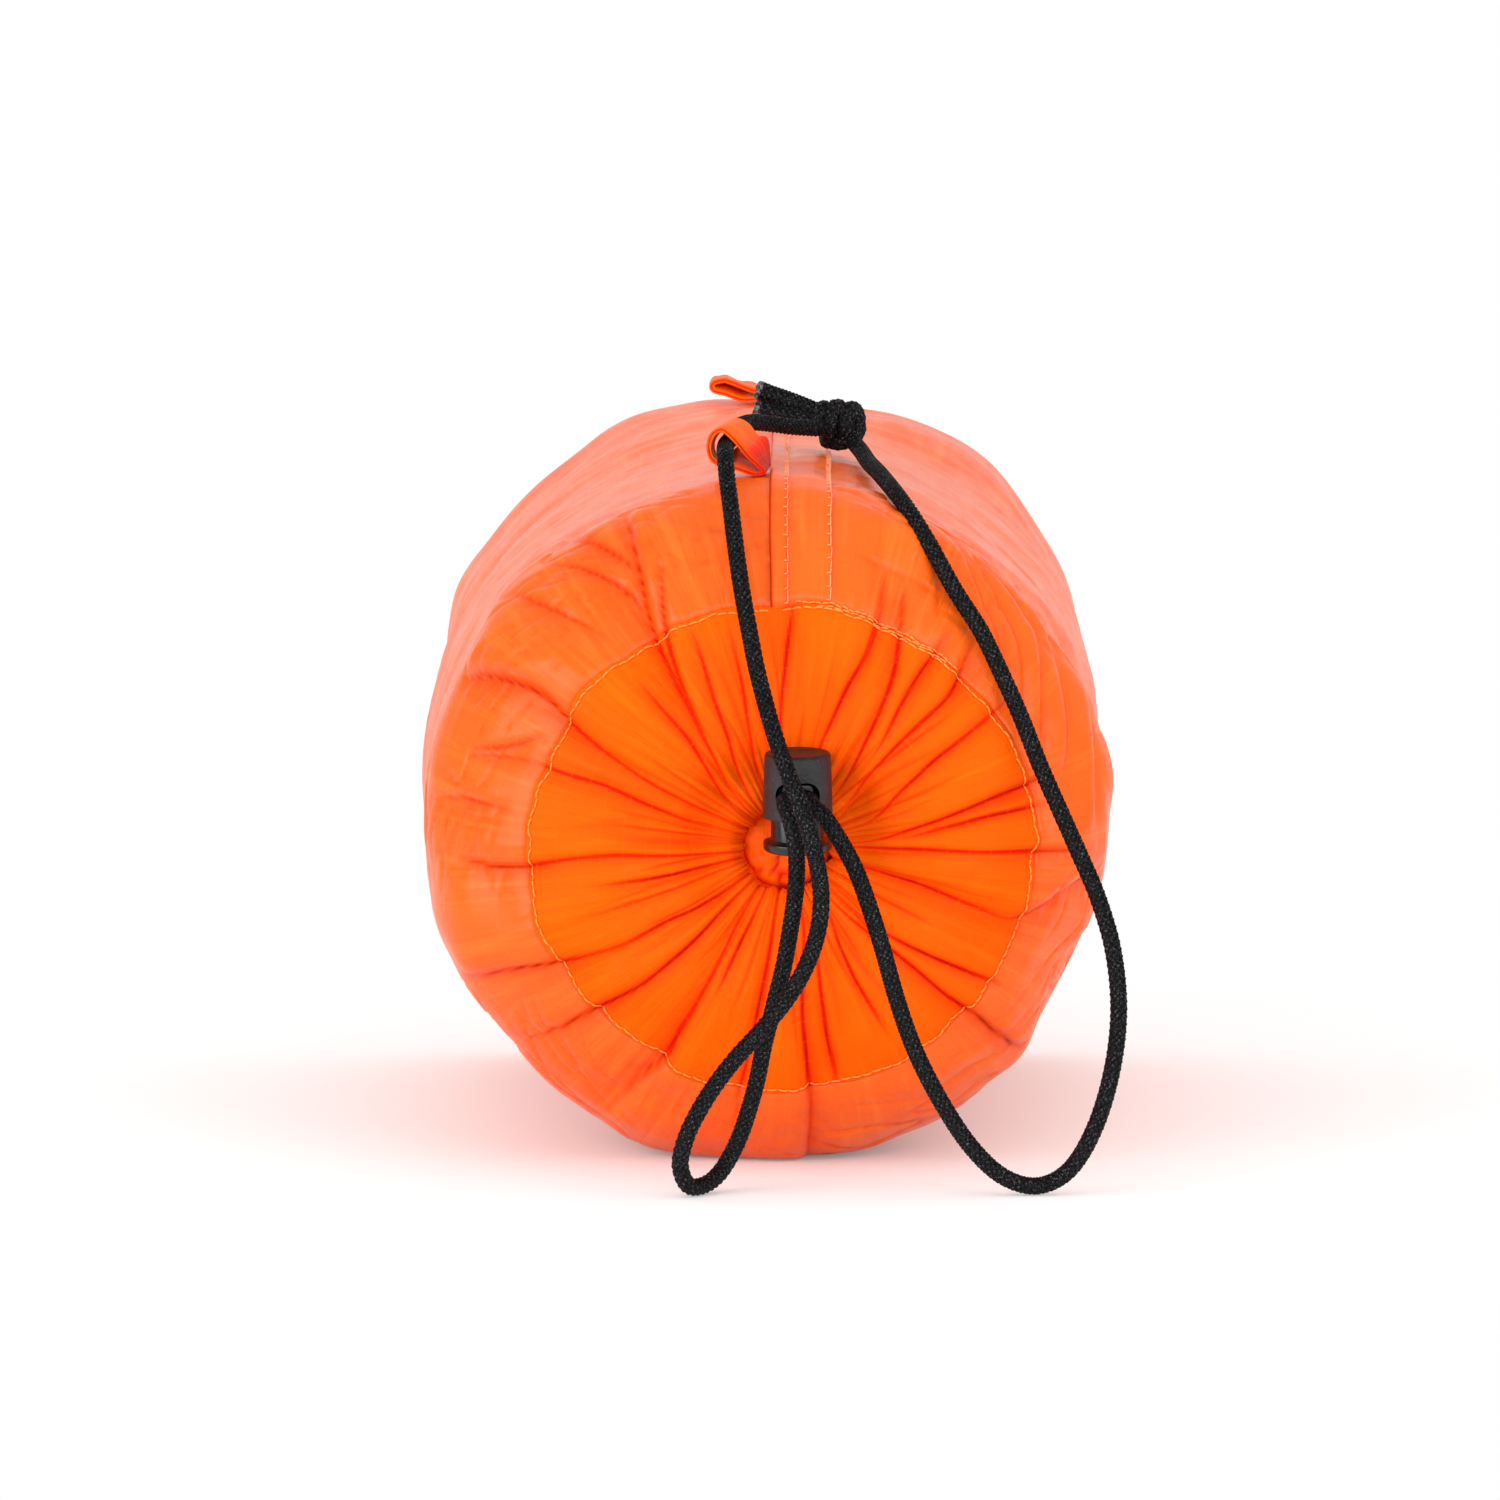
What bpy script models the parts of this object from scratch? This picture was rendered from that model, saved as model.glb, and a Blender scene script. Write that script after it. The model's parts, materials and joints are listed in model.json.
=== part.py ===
"""Group shelter packed in its stuff sack, closed by a drawcord with a barrel cord lock.

The sack lies on its side on the ground. +Y runs from the gathered mouth to the flat base, +Z is up,
and the origin is on the ground under the middle of the sack. Sizes are in millimetres and angles in
degrees; MM turns a finished shape into metres.
"""

import math

import bmesh
import bpy
import numpy as np
from mathutils import Matrix, Vector

MM = 0.001

# Sack body, as its outer skin
SACK_LENGTH = 238.4
NEAR_RADIUS = 75.0
FAR_RADIUS = 79.5
SETTLE = 2.0
SHOULDER_DEPTH = 37.2
SHOULDER_ROUNDNESS = 2.15
BASE_TURN_DEPTH = 15.2
BASE_TURN_IN = 4.2
CLOTH = 1.0

# Gathered mouth: the hem is the channel that the cord draws in
MOUTH_X = 4.0
MOUTH_Z = 71.0
CREST_RADIUS = 25.0
HEM_RADIUS = 56.0
HEM_CLOTH = 1.2
HEM_LAP = 5.0
HEM_FLATTENING = 0.045
PLEATS = 24
PLEAT_DEPTH = 2.0
LIP_RADIUS = 13.0
LIP_SET_BACK = 6.7
LIP_WALL = 1.0

# Base panel and the tape that binds it to the wall
BASE_CLOTH = 1.0
BASE_CROWN = 0.6
TAPE_WIDTH = 2.6
TAPE_THICKNESS = 2.8

# Seam along the top of the sack
SEAM_LEFT = 0.5
SEAM_WIDTH = 13.5
SEAM_CLOTH = 1.0

# Hang loops of folded cloth
LOOP_CLOTH = 1.2
LOOP_WIDTH = 10.0
FRONT_LOOP_Y = -80.0
FRONT_LOOP_REACH = 12.0
FRONT_LOOP_RISE = 10.8
FRONT_LOOP_DROOP = -0.3
FRONT_LOOP_BELLY = 0.4
FRONT_LOOP_SLOPE = 0.33
REAR_LOOP_Y = 99.0
REAR_LOOP_REACH = 13.3
REAR_LOOP_RISE = 6.6
REAR_LOOP_DROOP = -1.25
REAR_LOOP_BELLY = -1.0
REAR_LOOP_SLOPE = 0.22

# Drawcord
CORD_DIAMETER = 3.5
CORD_STEP = 8.4
RING_STEP = 4.0

# Cord lock
LOCK_X = 6.7
LOCK_LEAN = 6.0
LOCK_STAND_OFF = 1.0
LOCK_LIFT = 0.4
BARREL_TOP_RADIUS = 7.1
BARREL_FOOT_RADIUS = 7.5
BARREL_ABOVE_SLOT = 5.45
BARREL_BELOW_SLOT = 2.5
BARREL_CAP = 1.5
BARREL_EDGE = 0.9
BARREL_FOOT_EDGE = 0.3
SLOT_WIDTH = 9.4
SLOT_HEIGHT = 6.1
NECK_RADIUS = 5.75
NECK_LENGTH = 5.15
FLANGE_RADIUS = 7.35
FLANGE_THICKNESS = 2.2
FLANGE_EDGE = 0.3
PLUNGER_WEB = 1.4
SPRING_SEAT_RADIUS = 2.6
SPRING_SEAT_HEIGHT = 0.9
SPRING_RADIUS = 3.9
SPRING_WIRE = 0.6
SPRING_TURNS = 2.75

# Stopper knot
KNOT_CENTRE = (16.1, -20.0, 157.9)
KNOT_SPAN = 11.2
KNOT_CORD_DIAMETER = 3.0
TAIL_LENGTH = 11.0

# Clearances
SEWN_GAP = 0.4
LAP_GAP = 0.8
CORD_GAP = 0.3
PLUNGER_GAP = 0.3
FILL_GAP = 0.9
CHANNEL_GAP = 0.55

# Fineness
AROUND_SACK = 48
POINTS_PER_PLEAT = 4
ROUND_SIDES = 26

ORANGE = (0.80, 0.16, 0.02)
PALE_ORANGE = (0.85, 0.22, 0.03)
CHARCOAL = (0.03, 0.03, 0.035)
BLACK = (0.012, 0.012, 0.014)
STEEL = (0.55, 0.55, 0.56)

# What follows from the sizes above
FRONT_Y = -SACK_LENGTH / 2
BACK_Y = SACK_LENGTH / 2
SHOULDER_Y = FRONT_Y + SHOULDER_DEPTH
TAPE_FRONT_Y = BACK_Y - TAPE_WIDTH
WALL_END_Y = TAPE_FRONT_Y - SEWN_GAP
WIDEST_Y = WALL_END_Y - BASE_TURN_DEPTH
WALL_END_RADIUS = FAR_RADIUS - BASE_TURN_IN
NEAR_CENTRE_Z = NEAR_RADIUS - SETTLE
FAR_CENTRE_Z = FAR_RADIUS - SETTLE
CORD_RADIUS = CORD_DIAMETER / 2
CHANNEL_RADIUS = CORD_RADIUS + CHANNEL_GAP
LIP_Y = FRONT_Y + LIP_SET_BACK
LIP_THICKNESS_RADIUS = CHANNEL_RADIUS + LIP_WALL
BORE_RADIUS = NECK_RADIUS + PLUNGER_GAP
BARREL_TOP = SLOT_HEIGHT / 2 + BARREL_ABOVE_SLOT
BARREL_FOOT = -SLOT_HEIGHT / 2 - BARREL_BELOW_SLOT
BORE_TOP = BARREL_TOP - BARREL_CAP
CORD_IN_SLOT = -SLOT_HEIGHT / 2 + CORD_RADIUS + CORD_GAP
PLUNGER_SLOT_TOP = CORD_IN_SLOT + CORD_RADIUS + CORD_GAP
PLUNGER_SLOT_CENTRE = PLUNGER_SLOT_TOP - SLOT_HEIGHT / 2
PLUNGER_TOP = PLUNGER_SLOT_TOP + PLUNGER_WEB
FLANGE_TOP = BARREL_FOOT - NECK_LENGTH
LEG_APART = SLOT_WIDTH / 2 - CORD_RADIUS - CORD_GAP
LOCK_Y = FRONT_Y - LOCK_STAND_OFF - BARREL_FOOT_RADIUS
LOCK_Z = (
    MOUTH_Z
    + LIP_RADIUS
    - CORD_IN_SLOT * math.cos(math.radians(LOCK_LEAN))
    + (LOCK_Y - LIP_Y) * math.tan(math.radians(LOCK_LEAN))
    + LOCK_LIFT
)
LOCK_FRAME = Matrix.Translation((LOCK_X, LOCK_Y, LOCK_Z)) @ Matrix.Rotation(
    math.radians(LOCK_LEAN), 4, "X"
)


def smooth_step(value):
    """0 below 0, 1 above 1, with an even ease between."""
    value = min(max(value, 0.0), 1.0)
    return value * value * (3 - 2 * value)


def material(name, colour, roughness, metallic=0.0):
    """A plain surface of one colour."""
    made = bpy.data.materials.new(name)
    made.use_nodes = True
    shader = made.node_tree.nodes["Principled BSDF"]
    shader.inputs["Base Color"].default_value = (*colour, 1.0)
    shader.inputs["Roughness"].default_value = roughness
    shader.inputs["Metallic"].default_value = metallic
    return made


def node_from_mesh(name, shape, look, angle=40.0, origin=(0.0, 0.0, 0.0)):
    """Makes an object of a millimetre bmesh, facing out, with its origin where asked."""
    bmesh.ops.translate(shape, verts=shape.verts, vec=-Vector(origin))
    bmesh.ops.scale(shape, verts=shape.verts, vec=(MM, MM, MM))
    bmesh.ops.recalc_face_normals(shape, faces=shape.faces)
    mesh = bpy.data.meshes.new(name)
    shape.to_mesh(mesh)
    shape.free()
    mesh.shade_smooth()
    mesh.set_sharp_from_angle(angle=math.radians(angle))
    mesh.materials.append(look)
    made = bpy.data.objects.new(name, mesh)
    made.location = Vector(origin) * MM
    bpy.context.scene.collection.objects.link(made)
    return made


def add_rows(shape, rows, closed):
    """Joins rows of points, each a closed ring, and the last row to the first when closed."""
    rings = [[shape.verts.new(point) for point in row] for row in rows]
    count = len(rings[0])
    pairs = list(zip(rings, rings[1:]))
    if closed:
        pairs.append((rings[-1], rings[0]))
    for one, two in pairs:
        for j in range(count):
            k = (j + 1) % count
            shape.faces.new((one[j], one[k], two[k], two[j]))
    return rings


def sleeve(rows):
    """A solid whose rows of rings close on themselves, like a tube bent into a ring."""
    shape = bmesh.new()
    add_rows(shape, rows, closed=True)
    return shape


def capped(rows):
    """A solid of stacked rings with a fan over each end."""
    shape = bmesh.new()
    rings = add_rows(shape, rows, closed=False)
    for ring in (rings[0], rings[-1]):
        middle = sum((v.co for v in ring), Vector()) / len(ring)
        centre = shape.verts.new(middle)
        for j, vertex in enumerate(ring):
            shape.faces.new((vertex, ring[(j + 1) % len(ring)], centre))
    return shape


def turned(outline, sides=ROUND_SIDES):
    """A solid of revolution about Z from an outline of (radius, height) that starts and ends on the axis."""
    shape = bmesh.new()
    line = [shape.verts.new((radius, 0, height)) for radius, height in outline]
    edges = [shape.edges.new(pair) for pair in zip(line, line[1:])]
    bmesh.ops.spin(
        shape,
        geom=line + edges,
        axis=(0, 0, 1),
        cent=(0, 0, 0),
        steps=sides,
        angle=2 * math.pi,
        use_merge=True,
    )
    bmesh.ops.remove_doubles(shape, verts=shape.verts, dist=1e-4)
    return shape


def arc(centre, radius, start, end, steps):
    """Points on a circle from one angle to another."""
    return [
        (
            centre[0] + radius * math.cos(math.radians(start + (end - start) * i / steps)),
            centre[1] + radius * math.sin(math.radians(start + (end - start) * i / steps)),
        )
        for i in range(steps + 1)
    ]


def smooth_line(points, step, closed=False):
    """Even points on the smooth curve through a few chosen ones."""
    points = np.array(points, float)
    if closed:
        around = np.vstack([points[-1], points, points[:2]])
    else:
        around = np.vstack(
            [2 * points[0] - points[1], points, 2 * points[-1] - points[-2]]
        )
    fine = []
    for a, b, c, d in zip(around, around[1:], around[2:], around[3:]):
        for t in np.linspace(0, 1, 24, endpoint=False):
            fine.append(
                b
                + 0.5 * t * (c - a)
                + t**2 * (a - 2.5 * b + 2 * c - 0.5 * d)
                + t**3 * (1.5 * (b - c) + 0.5 * (d - a))
            )
    fine.append(points[0] if closed else points[-1])
    fine = np.array(fine)
    along = np.concatenate([[0], np.cumsum(np.linalg.norm(np.diff(fine, axis=0), axis=1))])
    count = max(2, round(along[-1] / step)) + 1
    marks = np.linspace(0, along[-1], count)[: -1 if closed else None]
    return np.stack([np.interp(marks, along, fine[:, k]) for k in range(points.shape[1])], 1)


def tube(name, points, diameter, look, resolution=2, origin=(0.0, 0.0, 0.0)):
    """A round cord or wire along the points, with closed ends."""
    curve = bpy.data.curves.new(name, "CURVE")
    curve.dimensions = "3D"
    curve.bevel_depth = diameter / 2 * MM
    curve.bevel_resolution = resolution
    curve.use_fill_caps = True
    spline = curve.splines.new("POLY")
    spline.points.add(len(points) - 1)
    for target, point in zip(spline.points, points):
        target.co = (*((Vector(point) - Vector(origin)) * MM), 1.0)
    curve.materials.append(look)
    made = bpy.data.objects.new(name, curve)
    made.location = Vector(origin) * MM
    bpy.context.scene.collection.objects.link(made)
    return made


def rounded_bar(name, width, height, corner, length, centre, frame):
    """A cutter with a long-hole section with rounded corners, lying along Y in the given frame."""
    half, rise = width / 2 - corner, height / 2 - corner
    outline = []
    for x, z, start in ((half, -rise, -90), (half, rise, 0), (-half, rise, 90), (-half, -rise, 180)):
        outline += arc((x, z), corner, start, start + 90, 4)
    rows = [
        [(centre[0] + x, centre[1] + y, centre[2] + z) for x, z in outline]
        for y in (-length / 2, length / 2)
    ]
    cutter = node_from_mesh(name, capped(rows), material(name, STEEL, 0.5))
    cutter.matrix_world = frame_in_metres(frame)
    cutter.display_type = "WIRE"
    cutter.hide_render = True
    return cutter


def frame_in_metres(frame):
    """The same turn, with its place in metres."""
    placed = frame.copy()
    placed.translation = frame.translation * MM
    return placed


def cut(target, cutter):
    """Cuts one object out of another."""
    step = target.modifiers.new("cut_" + cutter.name, "BOOLEAN")
    step.operation = "DIFFERENCE"
    step.solver = "EXACT"
    step.object = cutter


def skin_at(turn=None, y=None):
    """One section of the outer skin: (y, radius, its slope inward, mouth share, middle X and Z, flattening).

    turn runs from 0 at the shoulder to 90 at the crest round the mouth; y is used behind the shoulder.
    """
    if turn is not None:
        power = 2 / SHOULDER_ROUNDNESS
        across = math.cos(math.radians(turn)) ** power if turn < 90 else 0.0
        forward = math.sin(math.radians(turn)) ** power if turn > 0 else 0.0
        radius = CREST_RADIUS + (NEAR_RADIUS - CREST_RADIUS) * across
        place = SHOULDER_Y - SHOULDER_DEPTH * forward
        lean = (math.cos(math.radians(turn)), -math.sin(math.radians(turn)))
        mouth = 1 - across**3
        bulge = 4 * across * (1 - across)
        return (
            place,
            radius,
            lean,
            MOUTH_X * mouth,
            NEAR_CENTRE_Z + (MOUTH_Z - NEAR_CENTRE_Z) * mouth,
            1 - HEM_FLATTENING * bulge,
        )
    if y <= WIDEST_Y:
        share = (y - SHOULDER_Y) / (WIDEST_Y - SHOULDER_Y)
        radius = NEAR_RADIUS + (FAR_RADIUS - NEAR_RADIUS) * share
        return (y, radius, (1.0, 0.0), 0.0, radius - SETTLE, 1.0)
    share = (y - WIDEST_Y) / BASE_TURN_DEPTH
    radius = FAR_RADIUS - BASE_TURN_IN * share**2.4
    slope = math.atan(2.4 * BASE_TURN_IN * share**1.4 / BASE_TURN_DEPTH)
    return (y, radius, (math.cos(slope), math.sin(slope)), 0.0, FAR_CENTRE_Z, 1.0)


def skin_point(section, angle, depth, pleat=0.0):
    """A point a depth inside the skin, at an angle from the top toward +X, kept off the ground."""
    place, radius, lean, middle_x, middle_z, flat = section
    radius = radius - depth * lean[0]
    place = place - depth * lean[1] + pleat
    return (
        middle_x + radius * math.sin(angle),
        place,
        max(middle_z + flat * radius * math.cos(angle), depth),
    )


def ring_of(section, depth, count, pleat_height=0.0):
    """A closed ring of skin points, drawn inward in the valleys of the pleats."""
    return [
        skin_point(
            section,
            2 * math.pi * j / count,
            depth,
            pleat_height * (1 - math.cos(PLEATS * 2 * math.pi * j / count)) / 2,
        )
        for j in range(count)
    ]


def hem_turn():
    """The turn at which the skin reaches the hem's stitched edge."""
    share = (HEM_RADIUS - CREST_RADIUS) / (NEAR_RADIUS - CREST_RADIUS)
    return math.degrees(math.acos(share ** (SHOULDER_ROUNDNESS / 2)))


def lap_turn():
    """How many degrees of turn the lap under the hem takes."""
    here, there = skin_at(turn=hem_turn()), skin_at(turn=hem_turn() + 4)
    return 4 * HEM_LAP / math.hypot(here[0] - there[0], here[1] - there[1])


def build_wall(look):
    """The round wall: a thin shell, stepped in where it laps under the hem, open at the mouth and the base."""
    edge, lap = hem_turn(), lap_turn()
    tucked = HEM_CLOTH + LAP_GAP
    sections = [(skin_at(turn=edge + lap), tucked), (skin_at(turn=edge - 0.3), tucked)]
    turns = np.linspace(edge - 2.3, 0, 6)
    sections += [(skin_at(turn=turn), 0.0) for turn in turns]
    sections += [(skin_at(y=y), 0.0) for y in np.linspace(SHOULDER_Y, WIDEST_Y, 4)[1:]]
    shares = (0.35, 0.6, 0.82, 1.0)
    sections += [(skin_at(y=WIDEST_Y + BASE_TURN_DEPTH * s), 0.0) for s in shares]
    outer = [ring_of(section, depth, AROUND_SACK) for section, depth in sections]
    inner = [ring_of(section, depth + CLOTH, AROUND_SACK) for section, depth in sections]
    return node_from_mesh("sack_wall", sleeve(outer + inner[::-1]), look)


def pleat_height(radius):
    """The pleats start outside the lip and run out before the stitched edge."""
    rise = smooth_step((radius - LIP_RADIUS - LIP_THICKNESS_RADIUS) / 10)
    return PLEAT_DEPTH * rise * smooth_step((HEM_RADIUS - HEM_LAP - 1 - radius) / 8)


def build_hem(look):
    """The gathered hem: two cloths in radial pleats, rolled round the drawcord at the mouth."""
    count = PLEATS * POINTS_PER_PLEAT
    front, back = [], []
    for turn in np.linspace(hem_turn(), 90, 5):
        section = skin_at(turn=turn)
        front.append(ring_of(section, 0.0, count, pleat_height(section[1])))
        back.append(ring_of(section, HEM_CLOTH, count, pleat_height(section[1])))
    crest = skin_at(turn=90)
    lip_front, lip_outer = LIP_Y - LIP_THICKNESS_RADIUS, LIP_RADIUS + LIP_THICKNESS_RADIUS
    for share in (0.35, 0.7):
        radius = CREST_RADIUS + (lip_outer - CREST_RADIUS) * share
        place = FRONT_Y + (lip_front - FRONT_Y) * (1 - math.cos(math.pi / 2 * share))
        section = (place, radius, (0.0, -1.0), *crest[3:])
        front.append(ring_of(section, 0.0, count, pleat_height(radius)))
        back.append(ring_of(section, HEM_CLOTH, count, pleat_height(radius)))
    lip = []
    for radius, place in arc((LIP_RADIUS, LIP_Y), LIP_THICKNESS_RADIUS, -50, -350, 7):
        lip.append(ring_of((place, radius, (0.0, -1.0), *crest[3:]), 0.0, count))
    hem = node_from_mesh("mouth_hem", sleeve(front + lip + back[::-1]), look)
    cut(hem, build_channel())
    return hem


def build_channel():
    """Cutter for the tunnel in the lip and the two holes where the cord leaves it."""
    shape = bmesh.new()
    route = [Vector(point) for point in smooth_line(mouth_cord_route(), RING_STEP)]
    add_strand(shape, route, CHANNEL_RADIUS)
    cutter = node_from_mesh("hem_channel", shape, material("hem_channel", STEEL, 0.5))
    cutter.display_type = "WIRE"
    cutter.hide_render = True
    return cutter


def build_base(look):
    """The round base panel, crowned a little by the load behind it."""
    rim = WALL_END_RADIUS + 0.8 - TAPE_THICKNESS - SEWN_GAP
    rear = BACK_Y - BASE_CROWN - SEWN_GAP
    rows = []
    for depth in (0.0, BASE_CLOTH):
        level = []
        for share in (0.35, 0.75, 1.0):
            place = rear + BASE_CROWN * (1 - share**2) - depth
            section = (place, rim * share, (0.0, 1.0), 0.0, FAR_CENTRE_Z, 1.0)
            level.append(ring_of(section, 0.0, AROUND_SACK))
        rows += level if depth == 0.0 else level[::-1]
    return node_from_mesh("sack_base", capped(rows), look)


def build_tape(look):
    """The binding tape round the seam between wall and base."""
    outer = WALL_END_RADIUS + 0.8
    inner = outer - TAPE_THICKNESS
    corner = 0.7
    outline = [
        (TAPE_FRONT_Y, outer - corner),
        (TAPE_FRONT_Y + corner, outer),
        (BACK_Y - corner, outer),
        (BACK_Y, outer - corner),
        (BACK_Y, inner + corner),
        (BACK_Y - corner, inner),
        (TAPE_FRONT_Y, inner),
    ]
    rows = [
        ring_of((place, radius, (1.0, 0.0), 0.0, FAR_CENTRE_Z, 1.0), 0.0, AROUND_SACK)
        for place, radius in outline
    ]
    return node_from_mesh("base_binding", sleeve(rows), look)


def build_seam(look):
    """The felled seam, a strip of folded cloth that follows the top of the sack."""
    sections = [skin_at(turn=turn) for turn in np.linspace(40, 0, 6)]
    sections += [skin_at(y=y) for y in np.linspace(SHOULDER_Y, WIDEST_Y, 4)[1:]]
    sections += [skin_at(y=WIDEST_Y + BASE_TURN_DEPTH * s) for s in (0.35, 0.6, 0.85)]
    rows = []
    for section in sections:
        row = []
        for depth, order in ((-SEWN_GAP - SEAM_CLOTH, 1), (-SEWN_GAP, -1)):
            line = []
            for x in np.linspace(SEAM_LEFT, SEAM_LEFT + SEAM_WIDTH, 5):
                angle = math.asin((x - section[3]) / section[1])
                line.append(skin_point(section, angle, depth))
            row += line[::order]
        rows.append(row)
    return node_from_mesh("side_seam_band", capped(rows), look)


def loop_line(reach, rise, droop, belly, slope):
    """Middle line of a folded loop in (x, z) from the line it folds on: rounded at the root and open beyond.

    droop and belly are the heights of the lower cloth near the root and further out, and slope is the
    share of the reach over which the upper cloth climbs.
    """
    root = (LOOP_CLOTH + SEWN_GAP) / 2
    tip = -reach + LOOP_CLOTH / 2
    top = rise - LOOP_CLOTH / 2
    chosen = [
        (root, 0),
        (0, root),
        (tip * slope / 2, root + (top - root) * 0.24),
        (tip * slope, root + (top - root) * 0.62),
        (tip * (slope + 0.19), root + (top - root) * 0.90),
        (tip * 0.76, top),
        (tip * 0.94, top * 0.86),
        (tip, top * 0.58),
        (tip * 0.93, top * 0.28),
        (tip * 0.72, belly),
        (tip * 0.42, droop),
        (tip * 0.15, -root * 1.02),
        (0, -root),
    ]
    return smooth_line(chosen, 1.5, closed=True)


def build_loop(name, y, reach, rise, droop, belly, slope, look):
    """A hang loop of folded cloth that folds about its sewn root."""
    section = skin_at(y=y + LOOP_WIDTH / 2)
    half = LOOP_CLOTH / 2
    root = (LOOP_CLOTH + SEWN_GAP) / 2 + half
    axis_x = SEAM_LEFT - SEWN_GAP - root - 0.2
    axis_z = section[4] + section[1] + SEWN_GAP + root
    line = loop_line(reach, rise, droop, belly, slope)
    ahead, behind = np.roll(line, -1, axis=0), np.roll(line, 1, axis=0)
    along = (ahead - behind) / np.linalg.norm(ahead - behind, axis=1)[:, None]
    rows = []
    for (x, z), (along_x, along_z) in zip(line, along):
        row = []
        for side, place in ((1, -1), (1, 1), (-1, 1), (-1, -1)):
            row.append(
                (
                    axis_x + x - side * half * along_z,
                    y + place * LOOP_WIDTH / 2,
                    axis_z + z + side * half * along_x,
                )
            )
        rows.append(row)
    return node_from_mesh(name, sleeve(rows), look, 50.0, (axis_x, y, axis_z))


HANG_LOOPS = (
    (
        "front_hang_loop",
        FRONT_LOOP_Y,
        FRONT_LOOP_REACH,
        FRONT_LOOP_RISE,
        FRONT_LOOP_DROOP,
        FRONT_LOOP_BELLY,
        FRONT_LOOP_SLOPE,
    ),
    (
        "rear_hang_loop",
        REAR_LOOP_Y,
        REAR_LOOP_REACH,
        REAR_LOOP_RISE,
        REAR_LOOP_DROOP,
        REAR_LOOP_BELLY,
        REAR_LOOP_SLOPE,
    ),
)


def build_contents(look):
    """The folded shelter that fills the sack, hollowed behind the mouth."""
    clear = CLOTH + FILL_GAP
    behind_hem = HEM_CLOTH + LAP_GAP + clear + PLEAT_DEPTH
    edge = hem_turn()
    sections = [(skin_at(turn=80), behind_hem + 0.6), (skin_at(turn=68), behind_hem)]
    sections += [(skin_at(turn=edge), behind_hem), (skin_at(turn=edge - 12), clear + 1.8)]
    sections += [(skin_at(turn=turn), clear) for turn in (28, 14, 0)]
    sections += [(skin_at(y=y), clear) for y in np.linspace(SHOULDER_Y, WIDEST_Y, 4)[1:]]
    sections += [(skin_at(y=WIDEST_Y + BASE_TURN_DEPTH * s), clear) for s in (0.5, 0.78)]
    rows = [ring_of(section, depth, AROUND_SACK) for section, depth in sections]
    crest = skin_at(turn=90)
    hollow_y = LIP_Y + LIP_THICKNESS_RADIUS + 3 * FILL_GAP
    hollow = (hollow_y, LIP_RADIUS, (0.0, -1.0), *crest[3:])
    end = (BACK_Y - BASE_CROWN - SEWN_GAP - BASE_CLOTH - 1.2, 66.0, (0, 1), 0.0, FAR_CENTRE_Z, 1.0)
    rows = [ring_of(hollow, 0.0, AROUND_SACK)] + rows + [ring_of(end, 0.0, AROUND_SACK)]
    return node_from_mesh("packed_shelter", capped(rows), look)


def lock_point(x, y, z):
    """A point of the lock's own frame, in the sack's frame. The lock's -Y is its front."""
    return tuple(LOCK_FRAME @ Vector((x, y, z)))


def lock_hole(name, length, height):
    """Cutter for the long hole in the barrel or the stem; its corners hug the cord."""
    corner = CORD_RADIUS + CORD_GAP
    return rounded_bar(name, SLOT_WIDTH, SLOT_HEIGHT, corner, length, (0, 0, height), LOCK_FRAME)


def build_barrel(look):
    """The lock's barrel: a tapered cup open below, with a long hole through it for both cords."""
    top = arc((BARREL_TOP_RADIUS - BARREL_EDGE, BARREL_TOP - BARREL_EDGE), BARREL_EDGE, 90, 0, 4)
    foot_middle = (BARREL_FOOT_RADIUS - BARREL_FOOT_EDGE, BARREL_FOOT + BARREL_FOOT_EDGE)
    foot = arc(foot_middle, BARREL_FOOT_EDGE, 0, -90, 2)
    bore = [
        (BORE_RADIUS + BARREL_FOOT_EDGE, BARREL_FOOT),
        (BORE_RADIUS, BARREL_FOOT + BARREL_FOOT_EDGE),
        (BORE_RADIUS, BORE_TOP),
        (0, BORE_TOP),
    ]
    barrel = node_from_mesh("lock_barrel", turned([(0, BARREL_TOP), *top, *foot, *bore]), look)
    barrel.matrix_world = frame_in_metres(LOCK_FRAME)
    cut(barrel, lock_hole("barrel_slot", 4 * BARREL_FOOT_RADIUS, 0))
    return barrel


def build_plunger(look):
    """The push button: a stem with its own long hole, set low by the spring, and a thumb flange."""
    flange_foot = FLANGE_TOP - FLANGE_THICKNESS
    rim = FLANGE_RADIUS - FLANGE_EDGE
    outline = [
        (0, PLUNGER_TOP + SPRING_SEAT_HEIGHT),
        (SPRING_SEAT_RADIUS, PLUNGER_TOP + SPRING_SEAT_HEIGHT),
        (SPRING_SEAT_RADIUS, PLUNGER_TOP),
        (NECK_RADIUS - FLANGE_EDGE, PLUNGER_TOP),
        (NECK_RADIUS, PLUNGER_TOP - FLANGE_EDGE),
        (NECK_RADIUS, FLANGE_TOP),
        *arc((rim, FLANGE_TOP - FLANGE_EDGE), FLANGE_EDGE, 90, 0, 2),
        *arc((rim, flange_foot + FLANGE_EDGE), FLANGE_EDGE, 0, -90, 2),
        (0, flange_foot),
    ]
    plunger = node_from_mesh("lock_plunger", turned(outline), look)
    plunger.matrix_world = frame_in_metres(LOCK_FRAME)
    cut(plunger, lock_hole("plunger_slot", 4 * NECK_RADIUS, PLUNGER_SLOT_CENTRE))
    return plunger


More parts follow.
